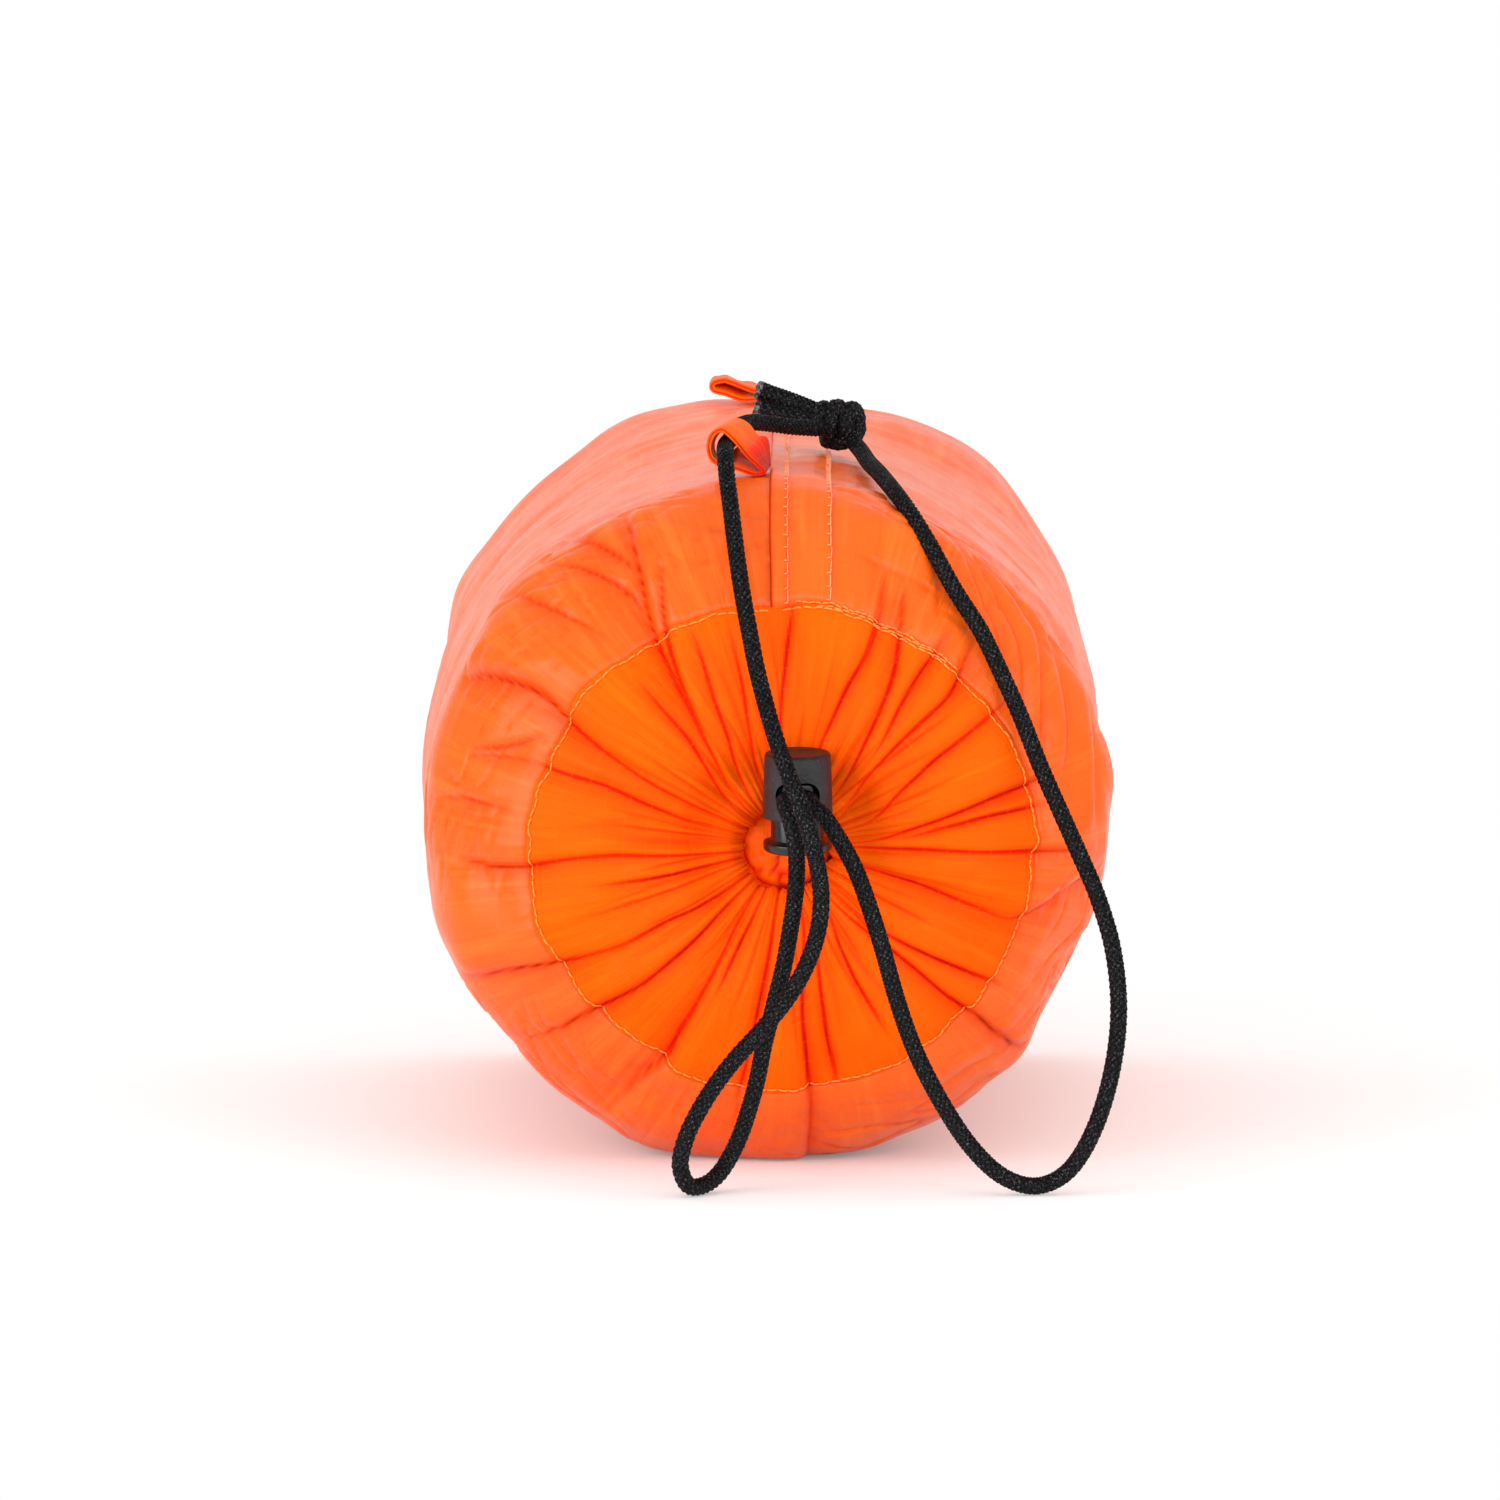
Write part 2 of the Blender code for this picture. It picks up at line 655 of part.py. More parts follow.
def build_spring(look):
    """The wire spring between the stem and the barrel's cap."""
    foot = PLUNGER_TOP + SPRING_WIRE / 2 + CORD_GAP
    height = BORE_TOP - CORD_GAP - SPRING_WIRE / 2 - foot
    count = round(12 * SPRING_TURNS)
    points = []
    for i in range(count + 1):
        angle = 2 * math.pi * SPRING_TURNS * i / count
        points.append(
            (
                SPRING_RADIUS * math.cos(angle),
                SPRING_RADIUS * math.sin(angle),
                foot + height * i / count,
            )
        )
    print("least gap between spring turns", round(height / SPRING_TURNS - SPRING_WIRE, 2), "mm")
    spring = tube("lock_spring", points, SPRING_WIRE, look, resolution=1)
    spring.matrix_world = frame_in_metres(LOCK_FRAME)
    return spring


def leg_front(side, forward):
    """A point on one of the two cord legs in the lock; side is -1 left, 1 right."""
    return lock_point(side * LEG_APART, -forward, CORD_IN_SLOT)


def ring_point(angle):
    """A point on the cord inside the lip, at an angle from the top toward +X."""
    turn = math.radians(angle)
    return (
        MOUTH_X + LIP_RADIUS * math.sin(turn),
        LIP_Y,
        MOUTH_Z + LIP_RADIUS * math.cos(turn),
    )


def mouth_cord_route():
    """Route of the cord in the hem's channel, with its two legs forward through the lock."""
    inside = BARREL_FOOT_RADIUS - CORD_GAP
    right = [leg_front(1, inside - 0.4), leg_front(1, 0), leg_front(1, -BARREL_FOOT_RADIUS)]
    left = [leg_front(-1, -BARREL_FOOT_RADIUS), leg_front(-1, 0), leg_front(-1, inside - 0.4)]
    bend_right = [(9.4, LIP_Y - 3.6, 83.9), (10.6, LIP_Y - 0.9, 82.7)]
    bend_left = [(2.6, LIP_Y - 0.9, 84.0), (3.9, LIP_Y - 3.6, 84.0)]
    ring = [ring_point(angle) for angle in range(46, 346, 20)]
    return right + bend_right + ring + bend_left + left


def build_mouth_cord(look):
    """The cord held in the gathered hem."""
    line = smooth_line(mouth_cord_route(), RING_STEP)
    return tube("drawcord_mouth_ring", line, CORD_DIAMETER, look)


# Free cord from the lock's right-hand leg: down, round on the ground and up over the shoulder to the knot
LONG_RUN = [
    (12.4, -142.6, 79.6),
    (16.6, -143.6, 73.1),
    (19.9, -144.0, 66.3),
    (24.2, -145.0, 53.6),
    (27.8, -146.0, 41.0),
    (31.6, -147.0, 30.4),
    (36.9, -148.5, 20.0),
    (43.3, -150.0, 10.4),
    (50.2, -151.0, 4.0),
    (57.6, -151.0, 2.0),
    (64.4, -150.0, 5.4),
    (69.8, -147.5, 14.1),
    (73.5, -144.0, 25.9),
    (75.0, -139.5, 38.2),
    (73.9, -135.0, 50.5),
    (70.8, -130.5, 61.2),
    (67.0, -127.0, 70.1),
    (62.8, -123.5, 79.4),
    (58.6, -120.0, 88.8),
    (54.4, -116.5, 99.3),
    (50.1, -113.0, 108.7),
    (45.9, -110.5, 117.2),
    (40.5, -107.0, 125.5),
    (35.2, -102.0, 134.9),
    (30.9, -94.0, 141.6),
    (27.4, -82.0, 145.8),
    (24.6, -64.0, 148.4),
    (22.3, -46.0, 150.0),
    (20.8, -33.0, 151.7),
    (19.0, -24.9, 153.6),
]

# Free cord from the left-hand leg: down to the ground, back up in front of the lock, through the front loop
SLACK_RUN = [
    (5.2, -142.6, 78.9),
    (6.4, -143.8, 72.6),
    (6.4, -143.5, 65.1),
    (5.3, -142.5, 56.5),
    (3.8, -142.0, 47.9),
    (1.7, -142.0, 39.4),
    (-0.4, -142.0, 30.9),
    (-1.9, -142.0, 23.4),
    (-3.8, -142.0, 16.5),
    (-6.2, -142.5, 9.9),
    (-9.6, -145.0, 4.2),
    (-13.0, -150.0, 2.0),
    (-16.4, -155.0, 2.6),
    (-18.0, -157.6, 7.4),
    (-16.6, -157.6, 13.4),
    (-13.8, -156.4, 19.0),
    (-10.4, -154.8, 24.2),
    (-6.1, -153.4, 29.6),
    (-0.8, -152.4, 35.3),
    (4.5, -151.4, 41.8),
    (8.5, -150.8, 48.6),
    (11.0, -150.4, 56.0),
    (11.7, -150.4, 63.4),
    (10.8, -150.8, 70.5),
    (9.1, -150.4, 77.3),
    (7.0, -148.4, 83.5),
    (4.7, -144.8, 89.0),
    (2.4, -140.0, 95.0),
    (0.2, -134.0, 101.8),
    (-2.0, -128.5, 109.8),
    (-3.7, -124.0, 118.0),
    (-5.3, -119.0, 126.3),
    (-6.6, -112.8, 134.6),
    (-7.7, -106.0, 142.7),
    (-8.6, -99.0, 149.0),
    (-9.2, -91.0, 153.7),
    (-9.4, -80.0, 155.5),
    (-8.8, -71.0, 156.9),
    (-7.1, -62.0, 158.3),
    (-4.1, -53.0, 159.2),
    (-0.1, -45.0, 158.6),
    (4.7, -37.0, 157.6),
    (8.6, -30.6, 157.0),
    (11.8, -25.8, 156.7),
]


def build_free_cords(look):
    """The two free runs, each from its leg in the lock to the knot."""
    start = BARREL_FOOT_RADIUS - CORD_GAP
    straight = start + 0.6 * CORD_DIAMETER
    for name, side, route in (("drawcord_long_run", 1, LONG_RUN), ("drawcord_slack_run", -1, SLACK_RUN)):
        bend = smooth_line([leg_front(side, straight), leg_front(side, straight + 1.6), *route], CORD_STEP)
        line = np.vstack([leg_front(side, start), bend])
        length = np.linalg.norm(np.diff(line, axis=0), axis=1).sum()
        print(name, "length", round(float(length), 1), "mm with", len(line), "points")
        tube(name, line, CORD_DIAMETER, look)


def build_knot(look):
    """The overhand knot that ties both ends together, drawn tight, with its two cut tails."""
    middle = Vector(KNOT_CENTRE)
    size = (KNOT_SPAN - 2 * KNOT_CORD_DIAMETER) / 6
    shape = bmesh.new()
    bmesh.ops.create_icosphere(
        shape,
        subdivisions=2,
        radius=KNOT_SPAN / 2 - KNOT_CORD_DIAMETER * 0.75,
        matrix=Matrix.Translation(middle),
    )
    strands = []
    for side in (-0.5, 0.5):
        strand = []
        for i in range(25):
            t = math.radians(188 + 344 * i / 24)
            swell = 1 + side * KNOT_CORD_DIAMETER / (3 * size)
            strand.append(
                middle
                + Vector(
                    (
                        -size * (math.cos(t) - 2 * math.cos(2 * t)) * swell,
                        KNOT_CORD_DIAMETER * (0.75 * math.sin(3 * t) + side * 0.9),
                        size * (math.sin(t) + 2 * math.sin(2 * t)) * swell,
                    )
                )
            )
        strands.append(strand)
    for rise, back in ((0.62, 0.12), (0.16, -0.55)):
        way = Vector((-1.0, back * 0.4, rise * 0.5)).normalized()
        start = middle + Vector((-KNOT_SPAN * 0.28, back * 3, KNOT_SPAN * rise * 0.4))
        reach = KNOT_SPAN * 0.22 + TAIL_LENGTH
        strands.append([start + way * reach * i / 6 for i in range(7)])
    for strand in strands:
        add_strand(shape, strand, KNOT_CORD_DIAMETER / 2)
    knot = node_from_mesh("drawcord_knot", shape, look, 180.0, KNOT_CENTRE)
    melt = knot.modifiers.new("drawn_tight", "REMESH")
    melt.mode = "VOXEL"
    melt.voxel_size = 0.45 * MM
    fewer = knot.modifiers.new("fewer_faces", "DECIMATE")
    fewer.ratio = 0.16
    return knot


def add_strand(shape, points, radius, sides=10):
    """Adds a closed tube along the points to a shape, its sides carried along without a twist."""
    rows = []
    side = Vector((0.3, 0.2, 1.0))
    for i, point in enumerate(points):
        way = (points[min(i + 1, len(points) - 1)] - points[max(i - 1, 0)]).normalized()
        side = (side - way * side.dot(way)).normalized()
        up = way.cross(side)
        angles = [2 * math.pi * j / sides for j in range(sides)]
        rows.append([point + radius * (math.cos(a) * side + math.sin(a) * up) for a in angles])
    rings = add_rows(shape, rows, closed=False)
    shape.faces.new(rings[0])
    shape.faces.new(rings[-1])


def clear_scene():
    """Starts from an empty scene."""
    for old in list(bpy.data.objects):
        bpy.data.objects.remove(old, do_unlink=True)


def parent_lock(pieces):
    """Hangs the lock's pieces on one empty at the middle of its long hole."""
    holder = bpy.data.objects.new("lock_frame", None)
    bpy.context.scene.collection.objects.link(holder)
    holder.matrix_world = frame_in_metres(LOCK_FRAME)
    for piece in pieces:
        piece.parent = holder
        piece.matrix_parent_inverse = Matrix.Identity(4)
        piece.matrix_basis = Matrix.Identity(4)


def build():
    """Builds every piece of the sack."""
    clear_scene()
    cloth = material("coated_nylon", ORANGE, 0.35)
    hem_cloth = material("hem_nylon", PALE_ORANGE, 0.4)
    cord = material("braided_cord", BLACK, 0.8)
    build_wall(cloth)
    build_hem(hem_cloth)
    build_base(material("base_nylon", ORANGE, 0.35))
    build_tape(material("binding_tape", ORANGE, 0.5))
    build_seam(material("seam_nylon", ORANGE, 0.35))
    loop_cloth = material("loop_nylon", ORANGE, 0.4)
    for name, *sizes in HANG_LOOPS:
        build_loop(name, *sizes, loop_cloth)
    build_contents(material("shelter_nylon", ORANGE, 0.6))
    barrel = build_barrel(material("lock_body_plastic", CHARCOAL, 0.5))
    plunger = build_plunger(material("lock_button_plastic", BLACK, 0.3))
    spring = build_spring(material("spring_steel", STEEL, 0.3, 1.0))
    parent_lock((barrel, plunger, spring))
    build_mouth_cord(cord)
    build_free_cords(cord)
    build_knot(cord)


build()
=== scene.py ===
"""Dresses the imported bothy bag: a coated nylon stuff sack with its gathered mouth, cord and cord lock.

All sizes in the classes are millimetres; `MM` turns them into the scene's metres.
"""

import json
import logging
import math
from dataclasses import dataclass, field
from enum import Enum
from itertools import product
from typing import Callable, Sequence

import bpy
import numpy as np
from mathutils import Matrix, Vector

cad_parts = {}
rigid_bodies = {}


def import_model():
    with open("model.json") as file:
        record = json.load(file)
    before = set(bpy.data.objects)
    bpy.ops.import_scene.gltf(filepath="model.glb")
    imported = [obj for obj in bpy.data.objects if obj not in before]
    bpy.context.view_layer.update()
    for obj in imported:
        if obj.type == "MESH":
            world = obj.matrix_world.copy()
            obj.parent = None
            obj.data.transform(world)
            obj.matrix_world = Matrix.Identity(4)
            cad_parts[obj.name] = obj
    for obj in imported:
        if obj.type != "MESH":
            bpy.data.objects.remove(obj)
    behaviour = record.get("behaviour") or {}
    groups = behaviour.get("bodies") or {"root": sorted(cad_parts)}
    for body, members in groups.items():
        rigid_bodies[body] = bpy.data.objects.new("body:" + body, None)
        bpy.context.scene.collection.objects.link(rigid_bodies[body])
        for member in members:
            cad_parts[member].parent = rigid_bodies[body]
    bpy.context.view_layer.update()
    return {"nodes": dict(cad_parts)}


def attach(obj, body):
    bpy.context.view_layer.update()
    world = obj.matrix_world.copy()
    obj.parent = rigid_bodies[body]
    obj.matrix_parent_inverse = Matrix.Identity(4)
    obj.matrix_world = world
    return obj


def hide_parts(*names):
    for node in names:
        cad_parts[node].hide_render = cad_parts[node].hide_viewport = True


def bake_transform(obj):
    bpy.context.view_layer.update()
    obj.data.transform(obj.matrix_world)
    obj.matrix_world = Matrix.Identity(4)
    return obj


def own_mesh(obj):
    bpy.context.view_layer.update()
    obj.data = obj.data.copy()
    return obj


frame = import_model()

MM = 0.001
LOG = logging.getLogger("bothy_bag")
Array = np.ndarray
Piece = bpy.types.Object
Flat = tuple[float, float]
Point = tuple[float, float, float]
Socket = bpy.types.NodeSocket
Surface = tuple[Array, Array]
Line = Callable[[Array], Array]
WHITE = (1.0, 1.0, 1.0, 1.0)

# The whole numbers that shuffle the noise's cells
CELL_STRIDES = (73856093, 19349663, 83492791)
SEED_STRIDE, MIX_FACTOR, KEPT_BITS = 668265263, 1274126177, 0x7FFFFFFF


# Colours and nodes


def linear(hex_colour: str) -> tuple[float, float, float, float]:
    """Turns an sRGB hex colour into linear light.

    Args:
        hex_colour: six hex digits, with or without a leading #.

    Returns:
        Red, green, blue and an alpha of 1.
    """
    digits = hex_colour.lstrip("#")
    parts = [int(digits[i : i + 2], 16) / 255 for i in (0, 2, 4)]
    light = [c / 12.92 if c <= 0.04045 else ((c + 0.055) / 1.055) ** 2.4 for c in parts]
    return (light[0], light[1], light[2], 1.0)


def fill_node(tree: bpy.types.NodeTree, node: bpy.types.Node, values: dict) -> None:
    """Gives a node its values.

    Args:
        tree: the node tree that it is in.
        node: the node.
        values: socket names or numbers, or the node's own settings. A socket as a value is linked.
    """
    for key, value in values.items():
        if isinstance(value, bpy.types.NodeSocket):
            tree.links.new(value, node.inputs[key])
        elif isinstance(key, int) or key in node.inputs:
            node.inputs[key].default_value = value
        else:
            setattr(node, key, value)


def add_node(tree: bpy.types.NodeTree, kind: str, values: dict | None = None) -> bpy.types.Node:
    """Adds one node.

    Args:
        tree: the node tree that it goes into.
        kind: the node's type name after its leading ShaderNode.
        values: what fill_node gives it.

    Returns:
        The new node.
    """
    node = tree.nodes.new("ShaderNode" + kind)
    fill_node(tree, node, values or {})
    return node


class Nodes:
    """A node tree, with one short call for each kind of node that the finishes and the studio repeat."""

    def __init__(self, holder: bpy.types.Material | bpy.types.World) -> None:
        """Empties the holder's tree."""
        holder.use_nodes = True
        self.tree = holder.node_tree
        self.tree.nodes.clear()

    def add(self, kind: str, values: dict | None = None, output: int | str = 0) -> Socket:
        """Adds one node and returns the output that is asked for."""
        return add_node(self.tree, kind, values).outputs[output]

    def math(self, operation: str, first: Socket, second: Socket | float = 0.5) -> Socket:
        """Adds one step of arithmetic."""
        return self.add("Math", {"operation": operation, 0: first, 1: second})

    def spread(
        self, value: Socket, low: float, high: float, start: Socket | float = 0.0, end: float = 1.0
    ) -> Socket:
        """Maps the span from low to high onto the span from start to end, and holds outside it."""
        span = {"From Min": low, "From Max": high, "To Min": start, "To Max": end}
        return self.add("MapRange", {**span, "Value": value})


class MaterialNodes(Nodes):
    """The nodes of a new material with a Principled shader."""

    def __init__(self, name: str) -> None:
        """Makes the material, its shader and the place that its patterns read."""
        self.made = bpy.data.materials.new(name)
        super().__init__(self.made)
        self.shader = add_node(self.tree, "BsdfPrincipled")
        self.add_output(self.shader.outputs["BSDF"])
        self.place = self.add("TexCoord", output="Object")

    def add_output(self, surface: Socket) -> None:
        """Makes a shader the material's surface."""
        add_node(self.tree, "OutputMaterial", {"Surface": surface})

    def fold(self) -> Socket:
        """The painted shade of the folds and creases, or the cord's strand height, that the piece holds at
        each of its points.
        """
        return self.add("Attribute", {"attribute_name": "fold"}, "Fac")

    def noise(
        self,
        scale: float,
        detail: float,
        roughness: float = 0.5,
        distortion: float = 0.0,
        place: Socket | None = None,
    ) -> Socket:
        """Adds a noise pattern, in the object's own place if no other is given."""
        values = {"Scale": scale, "Detail": detail, "Roughness": roughness, "Distortion": distortion}
        return self.add("TexNoise", {**values, "Vector": self.place if place is None else place}, "Fac")

    def cells(self, scale: float, smoothness: float) -> Socket:
        """Adds a pattern of rounded cells."""
        values = {"feature": "SMOOTH_F1", "Scale": scale, "Smoothness": smoothness, "Vector": self.place}
        return self.add("TexVoronoi", values, "Distance")

    def mix(self, share: Socket, first: Socket | str, second: str) -> Socket:
        """Mixes two colours.

        Args:
            share: how much of the second shows, from 0 to 1.
            first: a hex colour or a socket.
            second: a hex colour.

        Returns:
            The mixed colour.
        """
        node = add_node(self.tree, "Mix", {"data_type": "RGBA", "Factor": share})
        for name, colour in (("A", first), ("B", second)):
            socket = next(s for s in node.inputs if s.name == name and s.type == "RGBA")
            if isinstance(colour, str):
                socket.default_value = linear(colour)
            else:
                self.tree.links.new(colour, socket)
        return next(s for s in node.outputs if s.type == "RGBA")

    def bump(self, height: Socket, strength: float, distance: float) -> Socket:
        """Adds a relief whose distance is in millimetres."""
        return self.add("Bump", {"Strength": strength, "Distance": distance * MM, "Height": height})

    def finish(self, values: dict) -> bpy.types.Material:
        """Gives the shader its values, links or constants, and returns the material."""
        fill_node(self.tree, self.shader, values)
        return self.made


# Finishes


@dataclass(frozen=True)
class RipstopNylon:
    """Polyurethane-coated ripstop nylon: thin, slippery, with a soft shine and a grid of thicker threads.

    The coating gives wide pale highlights along the folds, and light that bounces between folds makes
    their depths redder. The material paints that redder shade into the folds and creases, and paints
    pale sheen streaks.
    """

    name: str
    colour: str
    # fold and deep are the colours of the painted shade in the folds and in the deepest creases
    fold: str
    deep: str
    pale: str
    roughness: float = 0.38
    coat: float = 0.1
    shine: float = 0.2
    grid: float = 5.0
    grid_strength: float = 0.10
    weave_pitch: float = 0.55
    streak_scale: Point = (0.3, 0.03, 1.0)

    def grid_and_weave(self, nodes: MaterialNodes, cloth: Socket) -> tuple[Socket, Socket]:
        """The grid of doubled threads, drawn 0.5 mm wide so that it shows, and the weave between them.

        Args:
            nodes: the material's nodes.
            cloth: the cloth map, in millimetres.

        Returns:
            The grid's and the weave's height.
        """
        axes = add_node(nodes.tree, "SeparateXYZ", {0: cloth})
        lines = []
        waves = []
        for axis in ("X", "Y"):
            away = nodes.math("PINGPONG", axes.outputs[axis], self.grid / 2)
            lines.append(nodes.spread(away, 0.12, 0.36, 1.0, 0.0))
            turn = nodes.math("MULTIPLY", axes.outputs[axis], 2 * math.pi / self.weave_pitch)
            waves.append(nodes.math("SINE", turn))
        return nodes.math("MAXIMUM", *lines), nodes.math("MULTIPLY", *waves)

    def make(self) -> bpy.types.Material:
        """Builds the cloth's material, which reads the piece's own cloth map and painted fold shade."""
        nodes = MaterialNodes(self.name)
        cloth = nodes.add("UVMap", {"uv_map": "cloth"})
        depth = nodes.fold()
        grid, weave = self.grid_and_weave(nodes, cloth)
        # Crumples of the coating about 9 mm across, and flat facets between them
        crumple = nodes.noise(110.0, 4.0, 0.55, 0.6)
        facets = nodes.cells(130.0, 0.35)
        patches = nodes.noise(22.0, 2.0)
        # Streaks that run out from the gathers, about 3 mm wide and ten times as long
        drawn = nodes.add("VectorMath", {"operation": "MULTIPLY", 0: cloth, 1: self.streak_scale})
        streaks = nodes.noise(1.0, 3.0, 0.6, place=drawn)
        # Colour: uneven dye, pale sheen streaks painted along the gathers, painted shade that reddens the
        # folds and darkens the creases, and a slightly paler thread grid
        patchy = nodes.spread(patches, 0.35, 0.68, 0.0, 0.3)
        sheen_streaks = nodes.spread(streaks, 0.42, 0.7, 0.0, 0.6)
        shade = nodes.mix(nodes.math("MAXIMUM", patchy, sheen_streaks), self.colour, self.pale)
        shade = nodes.mix(nodes.spread(depth, 0.03, 0.55), shade, self.fold)
        shade = nodes.mix(nodes.spread(depth, 0.55, 1.0), shade, self.deep)
        shade = nodes.mix(nodes.math("MULTIPLY", grid, self.grid_strength), shade, self.pale)
        # Relief in millimetres, summed and given to one bump node
        relief = nodes.math("MULTIPLY", crumple, 0.9)
        for socket, height in ((facets, 0.7), (streaks, 0.65), (grid, 0.05), (weave, 0.012)):
            relief = nodes.math("ADD", relief, nodes.math("MULTIPLY", socket, height))
        # The coating is rougher in its crumples, and its coat's reflection is taken away where the folds
        # and creases have painted shade
        rough = nodes.spread(crumple, 0.3, 0.7, self.roughness - 0.07, self.roughness + 0.1)
        coat_outside_shade = nodes.spread(depth, 0.1, 0.8, self.coat, 0.0)
        surface = {"Base Color": shade, "Roughness": rough, "Normal": nodes.bump(relief, 0.75, 1.0)}
        surface |= {"Coat Weight": coat_outside_shade, "Coat Roughness": 0.28, "Specular IOR Level": self.shine}
        return nodes.finish(surface)


@dataclass(frozen=True)
class BraidedPolyester:
    """Sixteen-strand polyester braid: near black, dry sheen, small painted glints on the yarn, painted
    shade in the gaps.
    """

    name: str = "braided polyester cord"
    colour: str = "#201F22"
    gap: str = "#000000"
    glint_colour: str = "#737176"

    def make(self) -> bpy.types.Material:
        """Builds the braid's material, which reads the cord's own strand height."""
        nodes = MaterialNodes(self.name)
        height = nodes.fold()
        # Yarn filaments, drawn 0.35 mm apart where the real ones are finer
        yarn = nodes.noise(2600.0, 2.0, 0.6)
        # Painted shade between the strands, black in the gaps
        shade = nodes.mix(nodes.math("POWER", height, 2.2), self.gap, self.colour)
        # Painted glints on the strand crowns
        painted_glints = nodes.math("MULTIPLY", nodes.spread(yarn, 0.56, 0.72), height)
        surface = {"Base Color": nodes.mix(painted_glints, shade, self.glint_colour)}
        surface |= {"Roughness": nodes.spread(yarn, 0.3, 0.75, 0.72, 0.42), "Specular IOR Level": 0.11}
        return nodes.finish({**surface, "Normal": nodes.bump(yarn, 0.6, 0.12)})


@dataclass(frozen=True)
class MouldedPlastic:
    """Injection-moulded nylon: charcoal, spark-eroded grain on the outside, smoother where parts slide."""

    name: str
    colour: str = "#161618"
    scuffed: str = "#323338"
    roughness: float = 0.46
    grain: float = 1.0
    shine: float = 0.6

    def make(self) -> bpy.types.Material:
        """Builds the plastic's material."""
        nodes = MaterialNodes(self.name)
        # Mould grain, 0.3 mm from pit to pit
        pits = nodes.cells(3400.0, 0.4)
        wear = nodes.noise(420.0, 3.0, 0.6)
        scuffs = nodes.spread(wear, 0.5, 0.8, 0.0, 0.6)
        surface = {"Base Color": nodes.mix(scuffs, self.colour, self.scuffed)}
        surface["Roughness"] = nodes.spread(wear, 0.2, 0.8, self.roughness - 0.08, self.roughness + 0.1)
        surface |= {"Normal": nodes.bump(pits, self.grain, 0.16), "Specular IOR Level": self.shine}
        return nodes.finish(surface)


@dataclass(frozen=True)
class DrawnSteel:
    """Bright drawn spring steel, with fine die marks along the wire."""

    name: str = "drawn spring steel"
    bright: str = "#B9BABD"
    dull: str = "#8E9094"

    def make(self) -> bpy.types.Material:
        """Builds the wire's material."""
        nodes = MaterialNodes(self.name)
        marks = nodes.noise(2500.0, 2.0)
        surface = {"Base Color": nodes.mix(marks, self.bright, self.dull), "Metallic": 1.0}
        return nodes.finish({**surface, "Roughness": nodes.spread(marks, 0.3, 0.7, 0.18, 0.36)})


@dataclass(frozen=True)
class SewingThread:
    """Twisted polyester sewing thread, a tint lighter than the cloth."""

    name: str = "polyester sewing thread"
    colour: str = "#FFA44C"
    shade: str = "#FF8A2C"

    def make(self) -> bpy.types.Material:
        """Builds the thread's material."""
        nodes = MaterialNodes(self.name)
        # The ply of the thread, 0.4 mm from twist to twist
        ply = nodes.noise(2400.0, 1.0)
        surface = {"Base Color": nodes.mix(ply, self.colour, self.shade)}
        surface["Roughness"] = nodes.spread(ply, 0.3, 0.7, 0.5, 0.7)
        return nodes.finish({**surface, "Normal": nodes.bump(ply, 0.4, 0.1)})


@dataclass(frozen=True)
class MeltedEnd:
    """Where the cut braid was melted: a hard grey bead with burnt and whitish patches."""

    name: str = "melted braid end"
    burnt: str = "#141416"
    whitish: str = "#8B8581"

    def make(self) -> bpy.types.Material:
        """Builds the bead's material."""
        nodes = MaterialNodes(self.name)
        blots = nodes.noise(900.0, 3.0, 0.7)
        surface = {"Base Color": nodes.mix(nodes.spread(blots, 0.46, 0.66), self.burnt, self.whitish)}
        surface["Roughness"] = nodes.spread(blots, 0.3, 0.7, 0.25, 0.7)
        return nodes.finish({**surface, "Normal": nodes.bump(blots, 0.7, 0.2)})


class Finish(Enum):
    """The finishes of this object, each made once."""

    WALL = RipstopNylon(
        "coated ripstop nylon, single", "#FA5A08", "#F24404", "#B82800", "#FF7A26", coat=0.42, shine=0.06
    )
    HEM = RipstopNylon(
        "coated ripstop nylon, doubled", "#FA5A02", "#F42600", "#B00A00", "#FF7008", coat=0.0, shine=0.035
    )
    SHELTER = RipstopNylon(
        "shelter ripstop nylon", "#FA5400", "#F02400", "#A80C00", "#FF6800", 0.45, coat=0.0, shine=0.1
    )
    BINDING = RipstopNylon(
        "ribbed binding tape", "#F04A0C", "#E03400", "#B81800", "#FF6A20", 0.6, 0.0, shine=0.1, grid=1.6
    )
    LOOP = RipstopNylon(
        "folded loop nylon", "#FA5C04", "#F02C00", "#B01400", "#FF7A14", 0.42, coat=0.0, shine=0.1
    )
    CORD = BraidedPolyester()
    BARREL = MouldedPlastic("moulded nylon, grained")
    BUTTON = MouldedPlastic("moulded nylon, polished", "#0B0B0D", "#17181A", roughness=0.22, grain=0.12)
    STEEL = DrawnSteel()
    THREAD = SewingThread()
    SEAM_THREAD = SewingThread("polyester sewing thread, faded", "#FFB488", "#FF9866")
    MELTED = MeltedEnd()

    def material(self) -> bpy.types.Material:
        """Returns this finish's material, and makes it the first time."""
        return bpy.data.materials.get(self.value.name) or self.value.make()


# Meshes and lines


def smooth_step(value: Array) -> Array:
    """Eases 0 to 1, and holds outside."""
    held = np.clip(value, 0, 1)
    return held * held * (3 - 2 * held)


def turned_from(angle: Array, middle: float | Array) -> Array:
    """Degrees from a middle angle, from -180 to 180."""
    return (angle - middle + 180) % 360 - 180


def grid_of(across: Array, along: Array) -> Array:
    """Pairs of (across, along) for every row along and every column across."""
    return np.stack(np.broadcast_arrays(across[None, :], along[:, None]), -1)


